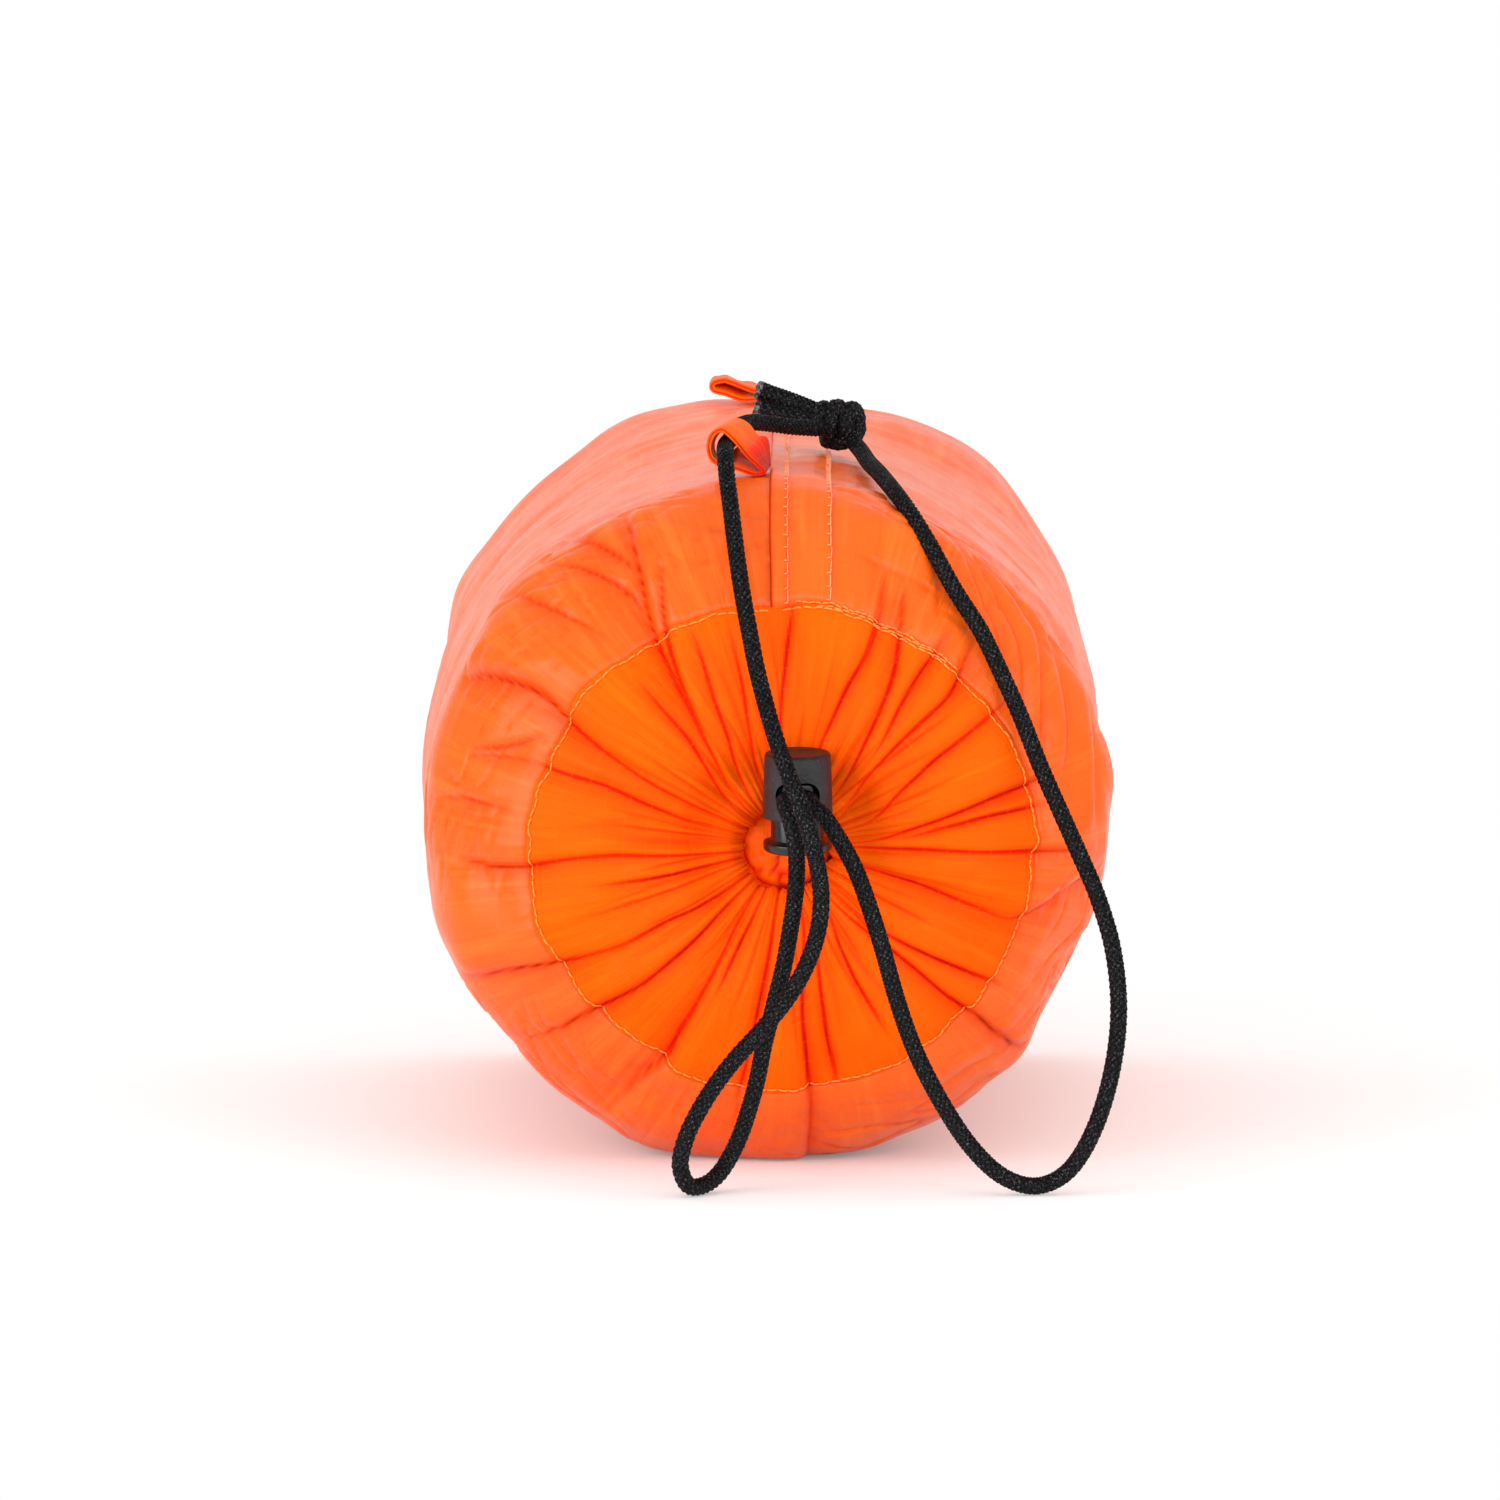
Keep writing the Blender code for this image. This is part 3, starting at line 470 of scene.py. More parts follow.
def value_noise(places: Array, seed: int) -> Array:
    """Smooth noise that is the same in every run.

    Args:
        places: points, counted in cells of the noise.
        seed: which noise.

    Returns:
        A value from -1 to 1 for each point.
    """
    cell = np.floor(places).astype(np.int64)
    part = places - cell
    ease = part**3 * (part * (part * 6 - 15) + 10)
    total = np.zeros(len(places))
    for corner in product((0, 1), repeat=3):
        key = (cell + corner) @ np.array(CELL_STRIDES) + seed * SEED_STRIDE
        key = ((key ^ (key >> 13)) * MIX_FACTOR) & KEPT_BITS
        key = ((key ^ (key >> 15)) * SEED_STRIDE) & KEPT_BITS
        weight = np.prod(np.where(np.array(corner), ease, 1 - ease), axis=1)
        total += ((key >> 7) / float(KEPT_BITS >> 7) * 2 - 1) * weight
    return total


def smooth_line(chosen: Sequence[Sequence[float]], step: float, closed: bool = False) -> Array:
    """Even points on the smooth curve through a few chosen ones.

    Args:
        chosen: the points it passes through.
        step: the distance between the points returned.
        closed: whether the curve joins its own start.

    Returns:
        The points, one row each.
    """
    points = np.array(chosen, float)
    if closed:
        around = np.vstack([points[-1], points, points[:2]])
    else:
        around = np.vstack([2 * points[0] - points[1], points, 2 * points[-1] - points[-2]])
    t = np.linspace(0, 1, 24, endpoint=False)[:, None]
    fine = [
        b
        + 0.5 * t * (c - a)
        + t**2 * (a - 2.5 * b + 2 * c - 0.5 * d)
        + t**3 * (1.5 * (b - c) + 0.5 * (d - a))
        for a, b, c, d in zip(around, around[1:], around[2:], around[3:])
    ]
    line = np.vstack([*fine, points[:1] if closed else points[-1:]])
    along = np.concatenate([[0], np.cumsum(np.linalg.norm(np.diff(line, axis=0), axis=1))])
    marks = np.linspace(0, along[-1], max(2, round(along[-1] / step)) + 1)
    marks = marks[:-1] if closed else marks
    return np.stack([np.interp(marks, along, line[:, k]) for k in range(points.shape[1])], 1)


def sheet_mesh(
    name: str,
    rows: Array,
    cloth_map: Array | None,
    fold: Array | None,
    finish: Finish,
    caps: bool = False,
    join_ends: bool = False,
) -> Piece:
    """Makes a mesh from a grid of points in millimetres.

    Args:
        name: the piece's name.
        rows: points, rows by columns by 3. Each row closes on itself.
        cloth_map: the same grid with one more column, by 2, in millimetres of cloth, or None.
        fold: one value a point, from 0 on a crown to 1 in a fold, that sets the painted shade, or None.
        finish: what it is made of.
        caps: whether the first and last rows are filled with a face each.
        join_ends: whether the last row joins the first.

    Returns:
        The new object, with its place in its mesh.
    """
    high, wide = rows.shape[:2]
    row = np.arange(high if join_ends else high - 1)[:, None]
    column = np.arange(wide)[None, :]
    below, beside = (row + 1) % high, (column + 1) % wide
    quads = [row * wide + column, row * wide + beside, below * wide + beside, below * wide + column]
    corners = np.stack(quads, -1).reshape(-1, 4).tolist()
    if caps:
        corners += [list(range(wide))[::-1], list(range((high - 1) * wide, high * wide))]
    mesh = bpy.data.meshes.new(name)
    mesh.from_pydata((rows.reshape(-1, 3) * MM).tolist(), [], corners)
    if cloth_map is not None:
        held = np.stack(
            np.broadcast_arrays(row, column)
            + np.broadcast_arrays(row, column + 1)
            + np.broadcast_arrays(row + 1, column + 1)
            + np.broadcast_arrays(row + 1, column),
            -1,
        ).reshape(-1, 4, 2)
        places = cloth_map[np.minimum(held[..., 0], len(cloth_map) - 1), held[..., 1]]
        flat = np.zeros((len(mesh.loops), 2), np.float32)
        flat[: places.reshape(-1, 2).shape[0]] = places.reshape(-1, 2)
        mesh.uv_layers.new(name="cloth").data.foreach_set("uv", flat.ravel())
    if fold is not None:
        depths = np.clip(fold, 0, 1).astype(np.float32)
        mesh.attributes.new("fold", "FLOAT", "POINT").data.foreach_set("value", depths.ravel())
    return smooth_object(name, mesh, finish)


def smooth_object(name: str, mesh: bpy.types.Mesh, finish: Finish) -> Piece:
    """Makes a smooth-shaded object of a mesh and its finish.

    Args:
        name: the piece's name.
        mesh: its mesh.
        finish: what it is made of.

    Returns:
        The new object.
    """
    mesh.polygons.foreach_set("use_smooth", np.ones(len(mesh.polygons), bool))
    mesh.materials.append(finish.material())
    mesh.update()
    made = bpy.data.objects.new(name, mesh)
    bpy.context.scene.collection.objects.link(made)
    return made


def dressed(piece: Piece, body: str, slot: str, *nodes: str) -> Piece:
    """Lets a piece ride on its body and stand for its solids.

    Args:
        piece: the visual piece.
        body: the body that it rides on.
        slot: not used.
        nodes: the solids that it stands for.

    Returns:
        The same piece.
    """
    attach(piece, body)
    if nodes:
        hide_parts(*nodes)
    return piece


def only(piece: Piece) -> None:
    """Leaves this piece alone selected and active, for the operators."""
    for other in bpy.context.view_layer.objects:
        other.select_set(False)
    piece.select_set(True)
    bpy.context.view_layer.objects.active = piece


def outward(piece: Piece, near: float = 1e-6) -> None:
    """Merges points that lie that near each other and turns the faces of a closed piece outwards."""
    only(piece)
    bpy.ops.object.mode_set(mode="EDIT")
    bpy.ops.mesh.select_all(action="SELECT")
    bpy.ops.mesh.remove_doubles(threshold=near)
    bpy.ops.mesh.normals_make_consistent(inside=False)
    bpy.ops.object.mode_set(mode="OBJECT")


def joined(name: str, parts: Sequence[Piece]) -> Piece:
    """Joins several objects into one of that name, with its place in its mesh.

    Args:
        name: the piece's name.
        parts: the objects, which it takes up.

    Returns:
        The joined object.
    """
    only(parts[0])
    for part in parts:
        part.select_set(True)
    bpy.ops.object.join()
    made = bpy.context.view_layer.objects.active
    made.name = made.data.name = name
    return made


# The sack's skin


@dataclass(frozen=True)
class FoldLine:
    """One fold of the cloth, as a line over the skin.

    line holds (distance from the crest, degrees from the top toward +X, share of the depth). The cloth
    drops steeply on one side of it and rises slowly on the other.
    """

    depth: float
    sharp: float
    soft: float
    side: int
    line: tuple[tuple[float, float, float], ...]
    shade: float = 1.0

    def eased(self) -> tuple[Array, Array, Array]:
        """The line at every half millimetre, with its corners rounded: distance, degrees and share."""
        line = np.array(sorted(self.line))
        grid = np.arange(-46.0, 100.0, 0.5)
        share = np.interp(grid, line[:, 0], line[:, 2])
        share *= np.clip(1 - (grid - line[-1, 0]) / 6, 0, 1)
        weight = np.exp(-((np.arange(-16, 17) * 0.5 / 3.0) ** 2))
        weight /= weight.sum()
        at = np.convolve(np.pad(np.interp(grid, line[:, 0], line[:, 1]), 16, "edge"), weight, "valid")
        return grid, at, np.convolve(np.pad(share, 16, "edge"), weight, "valid")


@dataclass(frozen=True)
class Swell:
    """One soft bulge or hollow: where, how high and how wide."""

    distance: float
    angle: float
    height: float
    along: float
    around: float


FOLDS = (
    # Left of the top, a pair that crosses the stitching together
    FoldLine(3.2, 1.1, 6.0, 1, (
        (66, 335, 0), (58, 335.5, 0.7), (50, 334.5, 1), (44, 333.5, 1), (36, 331, 1), (31, 329.5, 1),
        (24, 328.5, 0.9), (11, 326, 0.8), (-1, 321.5, 0.6), (-12, 314, 0.4),
    )),
    FoldLine(1.8, 1.0, 4.5, 1, (
        (62, 320, 0), (59, 322.5, 0.6), (51.5, 326, 0.9), (43.5, 329.5, 1), (37, 330.5, 0.6), (33, 330, 0),
    )),
    FoldLine(2.4, 0.9, 3.0, 1, (
        (45, 338.5, 0), (40, 337, 0.7), (35, 334.5, 1), (27, 331.5, 0.9), (17, 328.5, 0.7), (5, 325, 0.4),
        (-6, 316, 0.2),
    )),
    # Left, the deepest one
    FoldLine(4.0, 1.2, 8.0, 1, (
        (66, 295.5, 0), (58, 297.5, 0.8), (50, 300, 1), (44, 301.5, 1), (37, 303, 1), (32, 301.5, 1),
        (26, 300, 0.8), (16, 298, 0.6), (6, 295.5, 0.6), (-5, 294, 0.5), (-12, 294, 0.4),
    )),
    FoldLine(1.3, 1.2, 4.0, 1, (
        (50, 286, 0), (46, 287, 0.8), (39, 290, 1), (34, 295, 0.6), (32, 296, 0),
    )),
    FoldLine(1.8, 2.4, 6.0, 1, (
        (52, 283, 0), (46, 286, 0.7), (34, 288.5, 0.5), (26, 288.5, 0.8), (16, 289.5, 0.9), (7, 287.5, 0.9),
        (-3, 285, 0.6), (-12, 284, 0.3),
    )),
    FoldLine(2.4, 1.0, 5.0, 1, (
        (50, 265, 0), (46, 265, 0.7), (42, 264, 1), (32, 264, 0.9), (22, 266, 0.6), (11, 267, 0.8),
        (-1, 265.5, 0.7), (-12, 264, 0.4),
    )),
    FoldLine(1.6, 1.0, 4.0, 1, (
        (18, 257.5, 0), (10, 257, 0.6), (1, 256, 1), (-6, 256, 0.8), (-12, 255, 0.5),
    )),
    FoldLine(1.6, 2.4, 5.0, 1, (
        (26, 320, 0), (18, 319.5, 0.6), (6, 319, 0.9), (-4, 313.5, 0.7), (-12, 306, 0.4),
    )),
    FoldLine(1.7, 1.6, 4.0, 1, (
        (30, 338, 0), (21, 337.5, 0.7), (2, 333, 0.9), (-11, 325, 0.5),
    )),
    # Lower left
    FoldLine(2.6, 0.9, 6.0, 1, (
        (58, 244, 0), (55, 243.5, 0.6), (42, 242.5, 1), (32, 240.5, 1), (24, 239, 0.5), (15, 237, 0.5),
        (5, 237.5, 0.9), (-5, 234.5, 0.8), (-12, 232, 0.4),
    )),
    FoldLine(2.8, 1.0, 5.0, 1, (
        (62, 229.5, 0), (55, 229, 0.4), (43, 227.5, 0.8), (31, 226.5, 1), (19, 224, 0.8), (4, 223.5, 0.9),
        (-7, 224.5, 0.7), (-12, 224, 0.4),
    )),
    FoldLine(3.4, 1.1, 6.0, -1, (
        (56, 210, 0), (47, 209.5, 0.5), (36, 208.5, 0.9), (30, 207, 1), (24, 208, 1), (17, 208, 0.8),
        (6, 209, 0.7), (-5, 211.5, 0.6), (-12, 212, 0.4),
    )),
    FoldLine(1.7, 0.9, 3.5, -1, (
        (12, 204, 0), (6, 204.5, 0.7), (-2, 205, 1), (-12, 204, 0.5),
    )),
    FoldLine(1.6, 1.1, 4.0, -1, (
        (50, 188, 0), (42, 188, 0.5), (33, 189, 0.7), (22, 189, 0.8), (10, 189, 0.9), (-3, 188.5, 0.7),
        (-12, 189, 0.4),
    )),
    # Bottom: an upright tuck that reaches the ground
    FoldLine(2.4, 0.9, 4.5, 1, (
        (66, 173.5, 0.4), (53, 173.5, 0.9), (36, 173.5, 0.9), (26, 174, 1), (13, 174.5, 0.8), (1, 172, 0.8),
        (-9, 166, 0.5),
    )),
    FoldLine(1.9, 1.0, 3.5, -1, (
        (36, 167.5, 0), (29, 167.5, 0.8), (20, 168, 1), (10, 167, 0.9), (2, 165, 0.7), (-4, 161, 0.5),
        (-12, 156, 0.3),
    )),
    FoldLine(1.7, 1.1, 4.0, -1, (
        (26, 152.5, 0), (18, 152.5, 0.6), (8, 153, 0.9), (-2, 151, 0.8), (-10, 146, 0.4),
    )),
    # Lower right: a doubled fold that ends in a corner of the outline
    FoldLine(3.0, 0.9, 5.0, -1, (
        (62, 131.5, 0), (57, 131.5, 0.8), (44, 132.5, 1), (34, 133, 1), (24, 134.5, 0.8), (14, 134.5, 0.8),
        (5, 135, 0.8), (-3, 137, 0.6), (-10, 140, 0.4),
    )),
    FoldLine(1.8, 0.9, 2.6, -1, (
        (38, 124, 0), (31, 125, 0.8), (20, 127, 1), (10, 129.5, 0.9), (0, 132, 0.6), (-9, 133, 0.3),
    )),
    # Right
    FoldLine(3.6, 1.4, 8.0, -1, (
        (62, 99, 0), (56, 99, 0.8), (48, 99.5, 1), (40, 103, 0.9), (36, 106, 0.8), (28, 110, 0.4),
        (14, 108, 0.7), (3, 105.5, 0.9), (-8, 105, 0.5),
    )),
    FoldLine(1.9, 0.9, 4.0, -1, (
        (46, 93, 0), (40, 92, 0.8), (32, 92, 1), (18, 92, 0.7), (2, 91, 0.9), (-11, 91, 0.5),
    )),
    FoldLine(2.6, 1.0, 5.5, -1, (
        (42, 75, 0), (35, 75.5, 0.6), (32, 76, 1), (22, 76.5, 1), (13, 78.5, 0.9), (2, 82, 0.8),
        (-8, 87, 0.4),
    )),
    FoldLine(1.6, 0.8, 2.5, -1, (
        (36, 81.5, 0), (30, 81.5, 0.9), (19, 81.5, 1), (7, 83.5, 0.7), (-4, 87, 0),
    )),
    FoldLine(1.7, 1.8, 5.0, -1, (
        (40, 57, 0), (34, 57, 0.6), (23, 57.5, 0.8), (12, 59, 1), (2, 64, 0.8), (-7, 75, 0.4),
    )),
    # Upper right: the cloth sags into slanting folds
    FoldLine(2.6, 1.3, 6.0, -1, (
        (38, 43.5, 0), (33, 44.5, 0.9), (28, 46, 1), (24, 47, 0.8), (15, 46.5, 0.8), (7, 47, 0.8),
        (-4, 50, 0.6), (-11, 58, 0.3),
    )),
    FoldLine(2.0, 1.0, 5.0, -1, (
        (38, 38, 0), (34, 38, 0.6), (29, 37.5, 0.9), (24, 37, 1), (15, 38, 0.9), (8, 41, 0.6), (2, 44, 0.2),
    )),
    FoldLine(1.8, 0.9, 4.0, -1, (
        (42, 21.5, 0), (37, 22, 0.7), (29, 22.5, 0.9), (21, 22.5, 0.9), (13, 20.5, 1), (3, 20, 0.8),
        (-2, 19, 0.5), (-10, 20, 0.3),
    )),
    FoldLine(1.9, 1.0, 5.0, 1, (
        (43, 25.5, 0), (39, 26, 0.6), (30, 28, 0.9), (23, 30.5, 1), (11, 34, 0.9), (3, 37, 0.8),
        (-9, 44, 0.4),
    )),
    FoldLine(1.5, 1.2, 4.5, 1, (
        (33, 3, 0), (26, 2, 0.7), (21, 1, 1), (14, 0, 0.9), (5, -2, 0.8), (-3, -2, 0.6), (-11, -2, 0.3),
    )),
    FoldLine(1.4, 1.4, 4.0, 1, (
        (28, 347, 0), (20, 346.5, 0.6), (10, 345.5, 0.9), (-2, 342, 0.8), (-12, 338, 0.4),
    )),
    # Long slack folds over the right shoulder
    FoldLine(1.9, 1.1, 3.6, -1, (
        (76, 24, 0), (68, 32, 0.7), (60, 45, 1), (56.5, 53, 1), (45, 60.5, 1), (37.5, 69.5, 0.8),
        (33, 76, 0),
    ), 0.45),
    FoldLine(1.6, 1.1, 3.2, -1, (
        (72, 46, 0), (64, 54, 0.8), (59.5, 58.5, 1), (51.5, 65.5, 1), (45.5, 72.5, 0.9), (40, 80, 0),
    ), 0.45),
    FoldLine(1.3, 1.0, 2.8, -1, (
        (68, 30, 0), (58, 39, 0.8), (50.5, 47.5, 1), (41, 56, 1), (35, 63, 0.7), (32, 67, 0),
    ), 0.45),
    FoldLine(1.3, 1.0, 2.8, -1, (
        (66, 27, 0), (59.5, 33, 0.8), (49.5, 41.5, 1), (40, 50, 1), (35, 55.5, 0.6), (32, 59, 0),
    ), 0.45),
    FoldLine(1.3, 1.0, 2.6, -1, (
        (66, 21, 0), (58, 26.5, 0.8), (51, 30.5, 1), (43.5, 32.5, 1), (37, 34, 0),
    ), 0.45),
    FoldLine(1.6, 1.1, 3.0, -1, (
        (72, 62, 0), (66, 66, 0.8), (58, 74, 1), (52, 82, 1), (48, 90, 0),
    ), 0.45),
    # Upper left shoulder
    FoldLine(1.9, 1.4, 5.0, 1, (
        (74, 324, 0), (64, 327, 0.6), (54, 331, 1), (46, 333, 0.6), (42, 333.5, 0),
    )),
    FoldLine(1.5, 1.2, 5.0, 1, (
        (66, 312, 0), (56, 314, 0.8), (46, 317, 0.9), (38, 320, 0.4), (34, 321, 0),
    )),
    FoldLine(1.3, 1.2, 4.0, 1, (
        (60, 275, 0), (50, 276.5, 0.9), (40, 277, 0.8), (33, 277, 0),
    )),
)

SWELLS = (
    Swell(52, 116, -3.2, 30, 13), Swell(58, 133, 2.6, 20, 6), Swell(60, 85, 2.2, 24, 12),
    Swell(55, 101, -1.6, 16, 5), Swell(62, 152, -1.0, 26, 12), Swell(56, 235, -1.6, 26, 9),
    Swell(54, 215, -0.8, 24, 9), Swell(56, 254, 1.0, 20, 9), Swell(52, 308, 1.4, 20, 9),
    Swell(50, 290, -0.8, 16, 6), Swell(30, 313, 1.4, 16, 8), Swell(28, 347, 1.0, 14, 8),
    Swell(28, 12, 1.2, 14, 8), Swell(28, 62, 1.2, 14, 7), Swell(26, 252, 1.2, 16, 8),
    Swell(26, 198, 1.0, 14, 8), Swell(26, 148, 1.2, 14, 8), Swell(54, 20, 1.2, 14, 16),
    Swell(100, 60, 1.0, 30, 22), Swell(140, 300, 1.0, 34, 20), Swell(120, 10, 0.8, 26, 18),
    Swell(180, 80, 1.0, 30, 24), Swell(190, 250, 1.2, 30, 26), Swell(120, 200, 0.8, 30, 24),
    # The far end is packed squarer than round: full at the upper corners, hollow on the right
    Swell(262, 36, 4.0, 60, 13), Swell(262, 20, 1.6, 60, 8), Swell(262, 336, 4.5, 60, 12.5),
    Swell(262, 316, 1.8, 60, 12), Swell(262, 296, 3.0, 60, 10), Swell(235, 80, -5.6, 90, 13),
    Swell(100, 88, -2.3, 60, 11), Swell(262, 351, 2.0, 7, 8),
    # The lip bulges into the mouth
    Swell(-15, 262, 1.1, 5, 40), Swell(-15, 318, 2.2, 5, 30), Swell(-15, 90, 0.6, 5, 60),
    Swell(-15, 180, 0.6, 5, 50),
)


class SackSkin:
    """The outer skin of the sack, as a distance from the crest round the mouth and an angle from the top.

    Distances below 0 run over the lip and down the throat; the hem's stitching is at about 32 mm, the
    shoulder ends at about 69 mm, and the base turns in at the far end.
    """

    near_radius, far_radius, settle = 75.0, 79.5, 2.0
    shoulder_y, shoulder_depth, roundness = -82.0, 37.2, 2.15
    widest_y, turn_depth, turn_in = 101.0, 15.2, 4.2
    crest_radius, mouth_x, mouth_z, flattening = 25.0, 4.0, 71.0, 0.045
    lip_radius, lip_y, lip_round = 13.0, -112.5, 3.3
    stitching = 31.4
    small_shade, shoulder_run, near_z, bound_run = 0.68, 69.0, 73.0, 11.0

    def __init__(self) -> None:
        """Lays out the profile and the small folds."""
        throat = [(17.0, -98.0), (14.0, -103.5), (12.2, -107.5)]
        lip = [
            (self.lip_radius - self.lip_round * math.sin(a), self.lip_y - self.lip_round * math.cos(a))
            for a in np.radians(np.linspace(150, 0, 16))
        ]
        share = np.linspace(1, 0, 14)[1:-1]
        dimple = [(25.0 - 12.0 * k, -119.2 + 3.4 * (1 - math.cos(math.pi * k)) / 2) for k in share]
        turn = np.radians(np.linspace(90, 0, 121))
        across = np.clip(np.cos(turn), 0, 1) ** (2 / self.roundness)
        depth = np.sin(turn) ** (2 / self.roundness)
        shoulder_radius = self.crest_radius + (self.near_radius - self.crest_radius) * across
        shoulder = np.stack([shoulder_radius, self.shoulder_y - self.shoulder_depth * depth], 1)
        body_y = np.linspace(self.shoulder_y, self.widest_y, 62)[1:]
        body = np.stack([self.near_radius + 4.5 * (body_y - self.shoulder_y) / 183, body_y], 1)
        s = np.linspace(0, 1, 14)[1:]
        base = np.stack([self.far_radius - self.turn_in * s**2.4, self.widest_y + self.turn_depth * s], 1)
        inner = np.array(throat + lip + dimple)
        self.outline = np.vstack([inner, shoulder, body, base])
        run = np.concatenate([[0], np.cumsum(np.linalg.norm(np.diff(self.outline, axis=0), axis=1))])
        self.run = run - run[len(inner)]
        self.across = np.concatenate([np.zeros(len(inner)), across, np.ones(len(body) + len(base))])
        self.start, self.end = float(self.run[0]), float(self.run[-1])
        self.small_folds = self.scatter_folds()

    def scatter_folds(self) -> list[FoldLine]:
        """The many small folds that the cord draws up, each with its own depth, reach and slant."""
        chance = np.random.default_rng(8)
        made = []
        for count, low, high, depth in ((42, 6.0, 30.0, 1.15), (46, -8.0, 9.0, 0.6)):
            for k in range(count):
                angle = 360 / count * (k + chance.uniform(-0.42, 0.42))
                reach = low + (high - low) * chance.uniform(0, 1) ** 1.6
                slant = chance.uniform(-7, 7) * (reach + 12) / 38
                form = [depth * chance.uniform(0.45, 1.1), chance.uniform(0.9, 1.9)]
                form.append(chance.uniform(3.0, 7.0))
                side = int(chance.choice([-1, 1]))
                line = [(-12.0, angle, 0.7), (-3.0, angle + slant * 0.15, 1.0)]
                line += [(reach * 0.5, angle + slant * 0.5, 0.8), (reach, angle + slant, 0.0)]
                made.append(FoldLine(*form, side, tuple(line), self.small_shade))
        return made

    def section(self, distance: Array) -> tuple[Array, ...]:
        """The plain skin at distances from the crest.

        Args:
            distance: millimetres from the crest, positive outwards.

        Returns:
            Radius, y, middle X, middle Z, flattening, and the outward direction's radial and Y parts.
        """
        radius = np.interp(distance, self.run, self.outline[:, 0])
        y = np.interp(distance, self.run, self.outline[:, 1])
        ahead, behind = distance + 1.2, distance - 1.2
        rise, out = (
            np.interp(ahead, self.run, column) - np.interp(behind, self.run, column)
            for column in self.outline.T
        )
        size = np.hypot(out, rise)
        across = np.interp(distance, self.run, self.across)
        mouth = 1 - across**3
        plain_z = np.where(y > self.widest_y, self.far_radius, radius) - self.settle
        near_z = self.near_z + (self.mouth_z - self.near_z) * mouth
        middle_z = np.where(distance < self.shoulder_run, near_z, plain_z)
        flat = 1 - self.flattening * 4 * across * (1 - across)
        return radius, y, self.mouth_x * mouth, middle_z, flat, out / size, -rise / size

    def relief(self, cut: Array, distance: Array, angle: Array) -> Surface:
        """How far the cloth stands off the plain skin.

        Args:
            cut: the cloth's own distance from the crest, as it was cut.
            distance: where that lies, in millimetres from the crest.
            angle: degrees from the top toward +X.

        Returns:
            The height in millimetres, and the painted shade that each point gets in the folds and creases,
            from 0 to 1.
        """
        radius = self.section(distance)[0]
        ring = np.clip(radius / 52.0, 0.22, 1.0)
        height = np.zeros_like(distance)
        painted_shade = np.zeros_like(distance)
        for fold in (*FOLDS, *self.small_folds):
            grid, places, shares = fold.eased()
            at, share = np.interp(distance, grid, places), np.interp(distance, grid, shares)
            slope = np.interp(distance, grid, np.gradient(places, grid))
            slant = 1 / np.sqrt(1 + (np.radians(slope) * radius) ** 2)
            away = turned_from(angle, at) * math.pi / 180 * radius * slant * fold.side
            sharp, soft = np.maximum(1.3 * fold.sharp * ring, 0.45), 1.5 * fold.soft * ring
            steep = np.exp(-np.abs(away) / sharp)
            slow = np.exp(-np.abs(away) / soft)
            # Beyond the sharp side the cloth stands in a rounded lip that falls off slowly
            lip = np.where(away > 0, (1 - steep) * np.exp(-np.clip(away, 0, None) / (1.1 * soft)), 0.0)
            valley = np.where(away > 0, steep, slow)
            depth = 0.86 * fold.depth * np.clip(0.3 + 0.7 * ring, 0, 1)
            height += share * depth * (0.75 * lip - 0.85 * valley)
            # Painted shade: a dark core along the fold line and a broader redder flank on its shaded side,
            # stronger for deeper folds
            deep = fold.shade * min(1.0, fold.depth / 1.6)
            core = np.exp(-((away / (0.3 + 0.25 * ring)) ** 2))
            gentle = np.maximum(slow**2.6, 0.36 * slow**1.3)
            flank = np.where(away > 0, np.maximum(steep, 0.2 * lip), gentle)
            painted_shade = np.maximum(painted_shade, deep * share * np.maximum(core, 0.46 * flank))
        for swell in SWELLS:
            around = turned_from(angle, swell.angle) / swell.around
            height += swell.height * np.exp(-(((distance - swell.distance) / swell.along) ** 2) - around**2)
        gathers, pleat_shade = self.pleats(cut, angle, radius)
        height += gathers
        painted_shade = np.maximum(painted_shade, pleat_shade)
        crumpled, creases = self.crumples(distance, angle, radius)
        height += crumpled
        painted_shade = np.maximum(painted_shade, creases)
        # Inside the mouth the cloth is pressed flat between the cord and the bundle
        inside = smooth_step((-16 - distance) / 6)
        return height * (1 - 0.8 * inside), np.clip(painted_shade, 0, 1) * (1 - 0.7 * inside)

    def drawn(self, distance: Array, angle: Array) -> Array:
        """How far out the cloth at a distance really lies: the hem's edge runs in a wavering line."""
        turn = np.radians(angle)
        ring = np.stack([np.cos(turn), np.sin(turn), 0 * turn], 1)
        top = np.cos(np.radians(angle - 4))
        waver = 0.55 * value_noise(ring * 5.5, 17) + 0.35 * value_noise(ring * 13, 18)
        shift = -0.5 - 1.55 * top - 0.35 * top**2 + 0.3 * np.sin(turn) + waver
        near = smooth_step(1 - np.abs(distance - self.stitching) / 17)
        return distance + shift * near

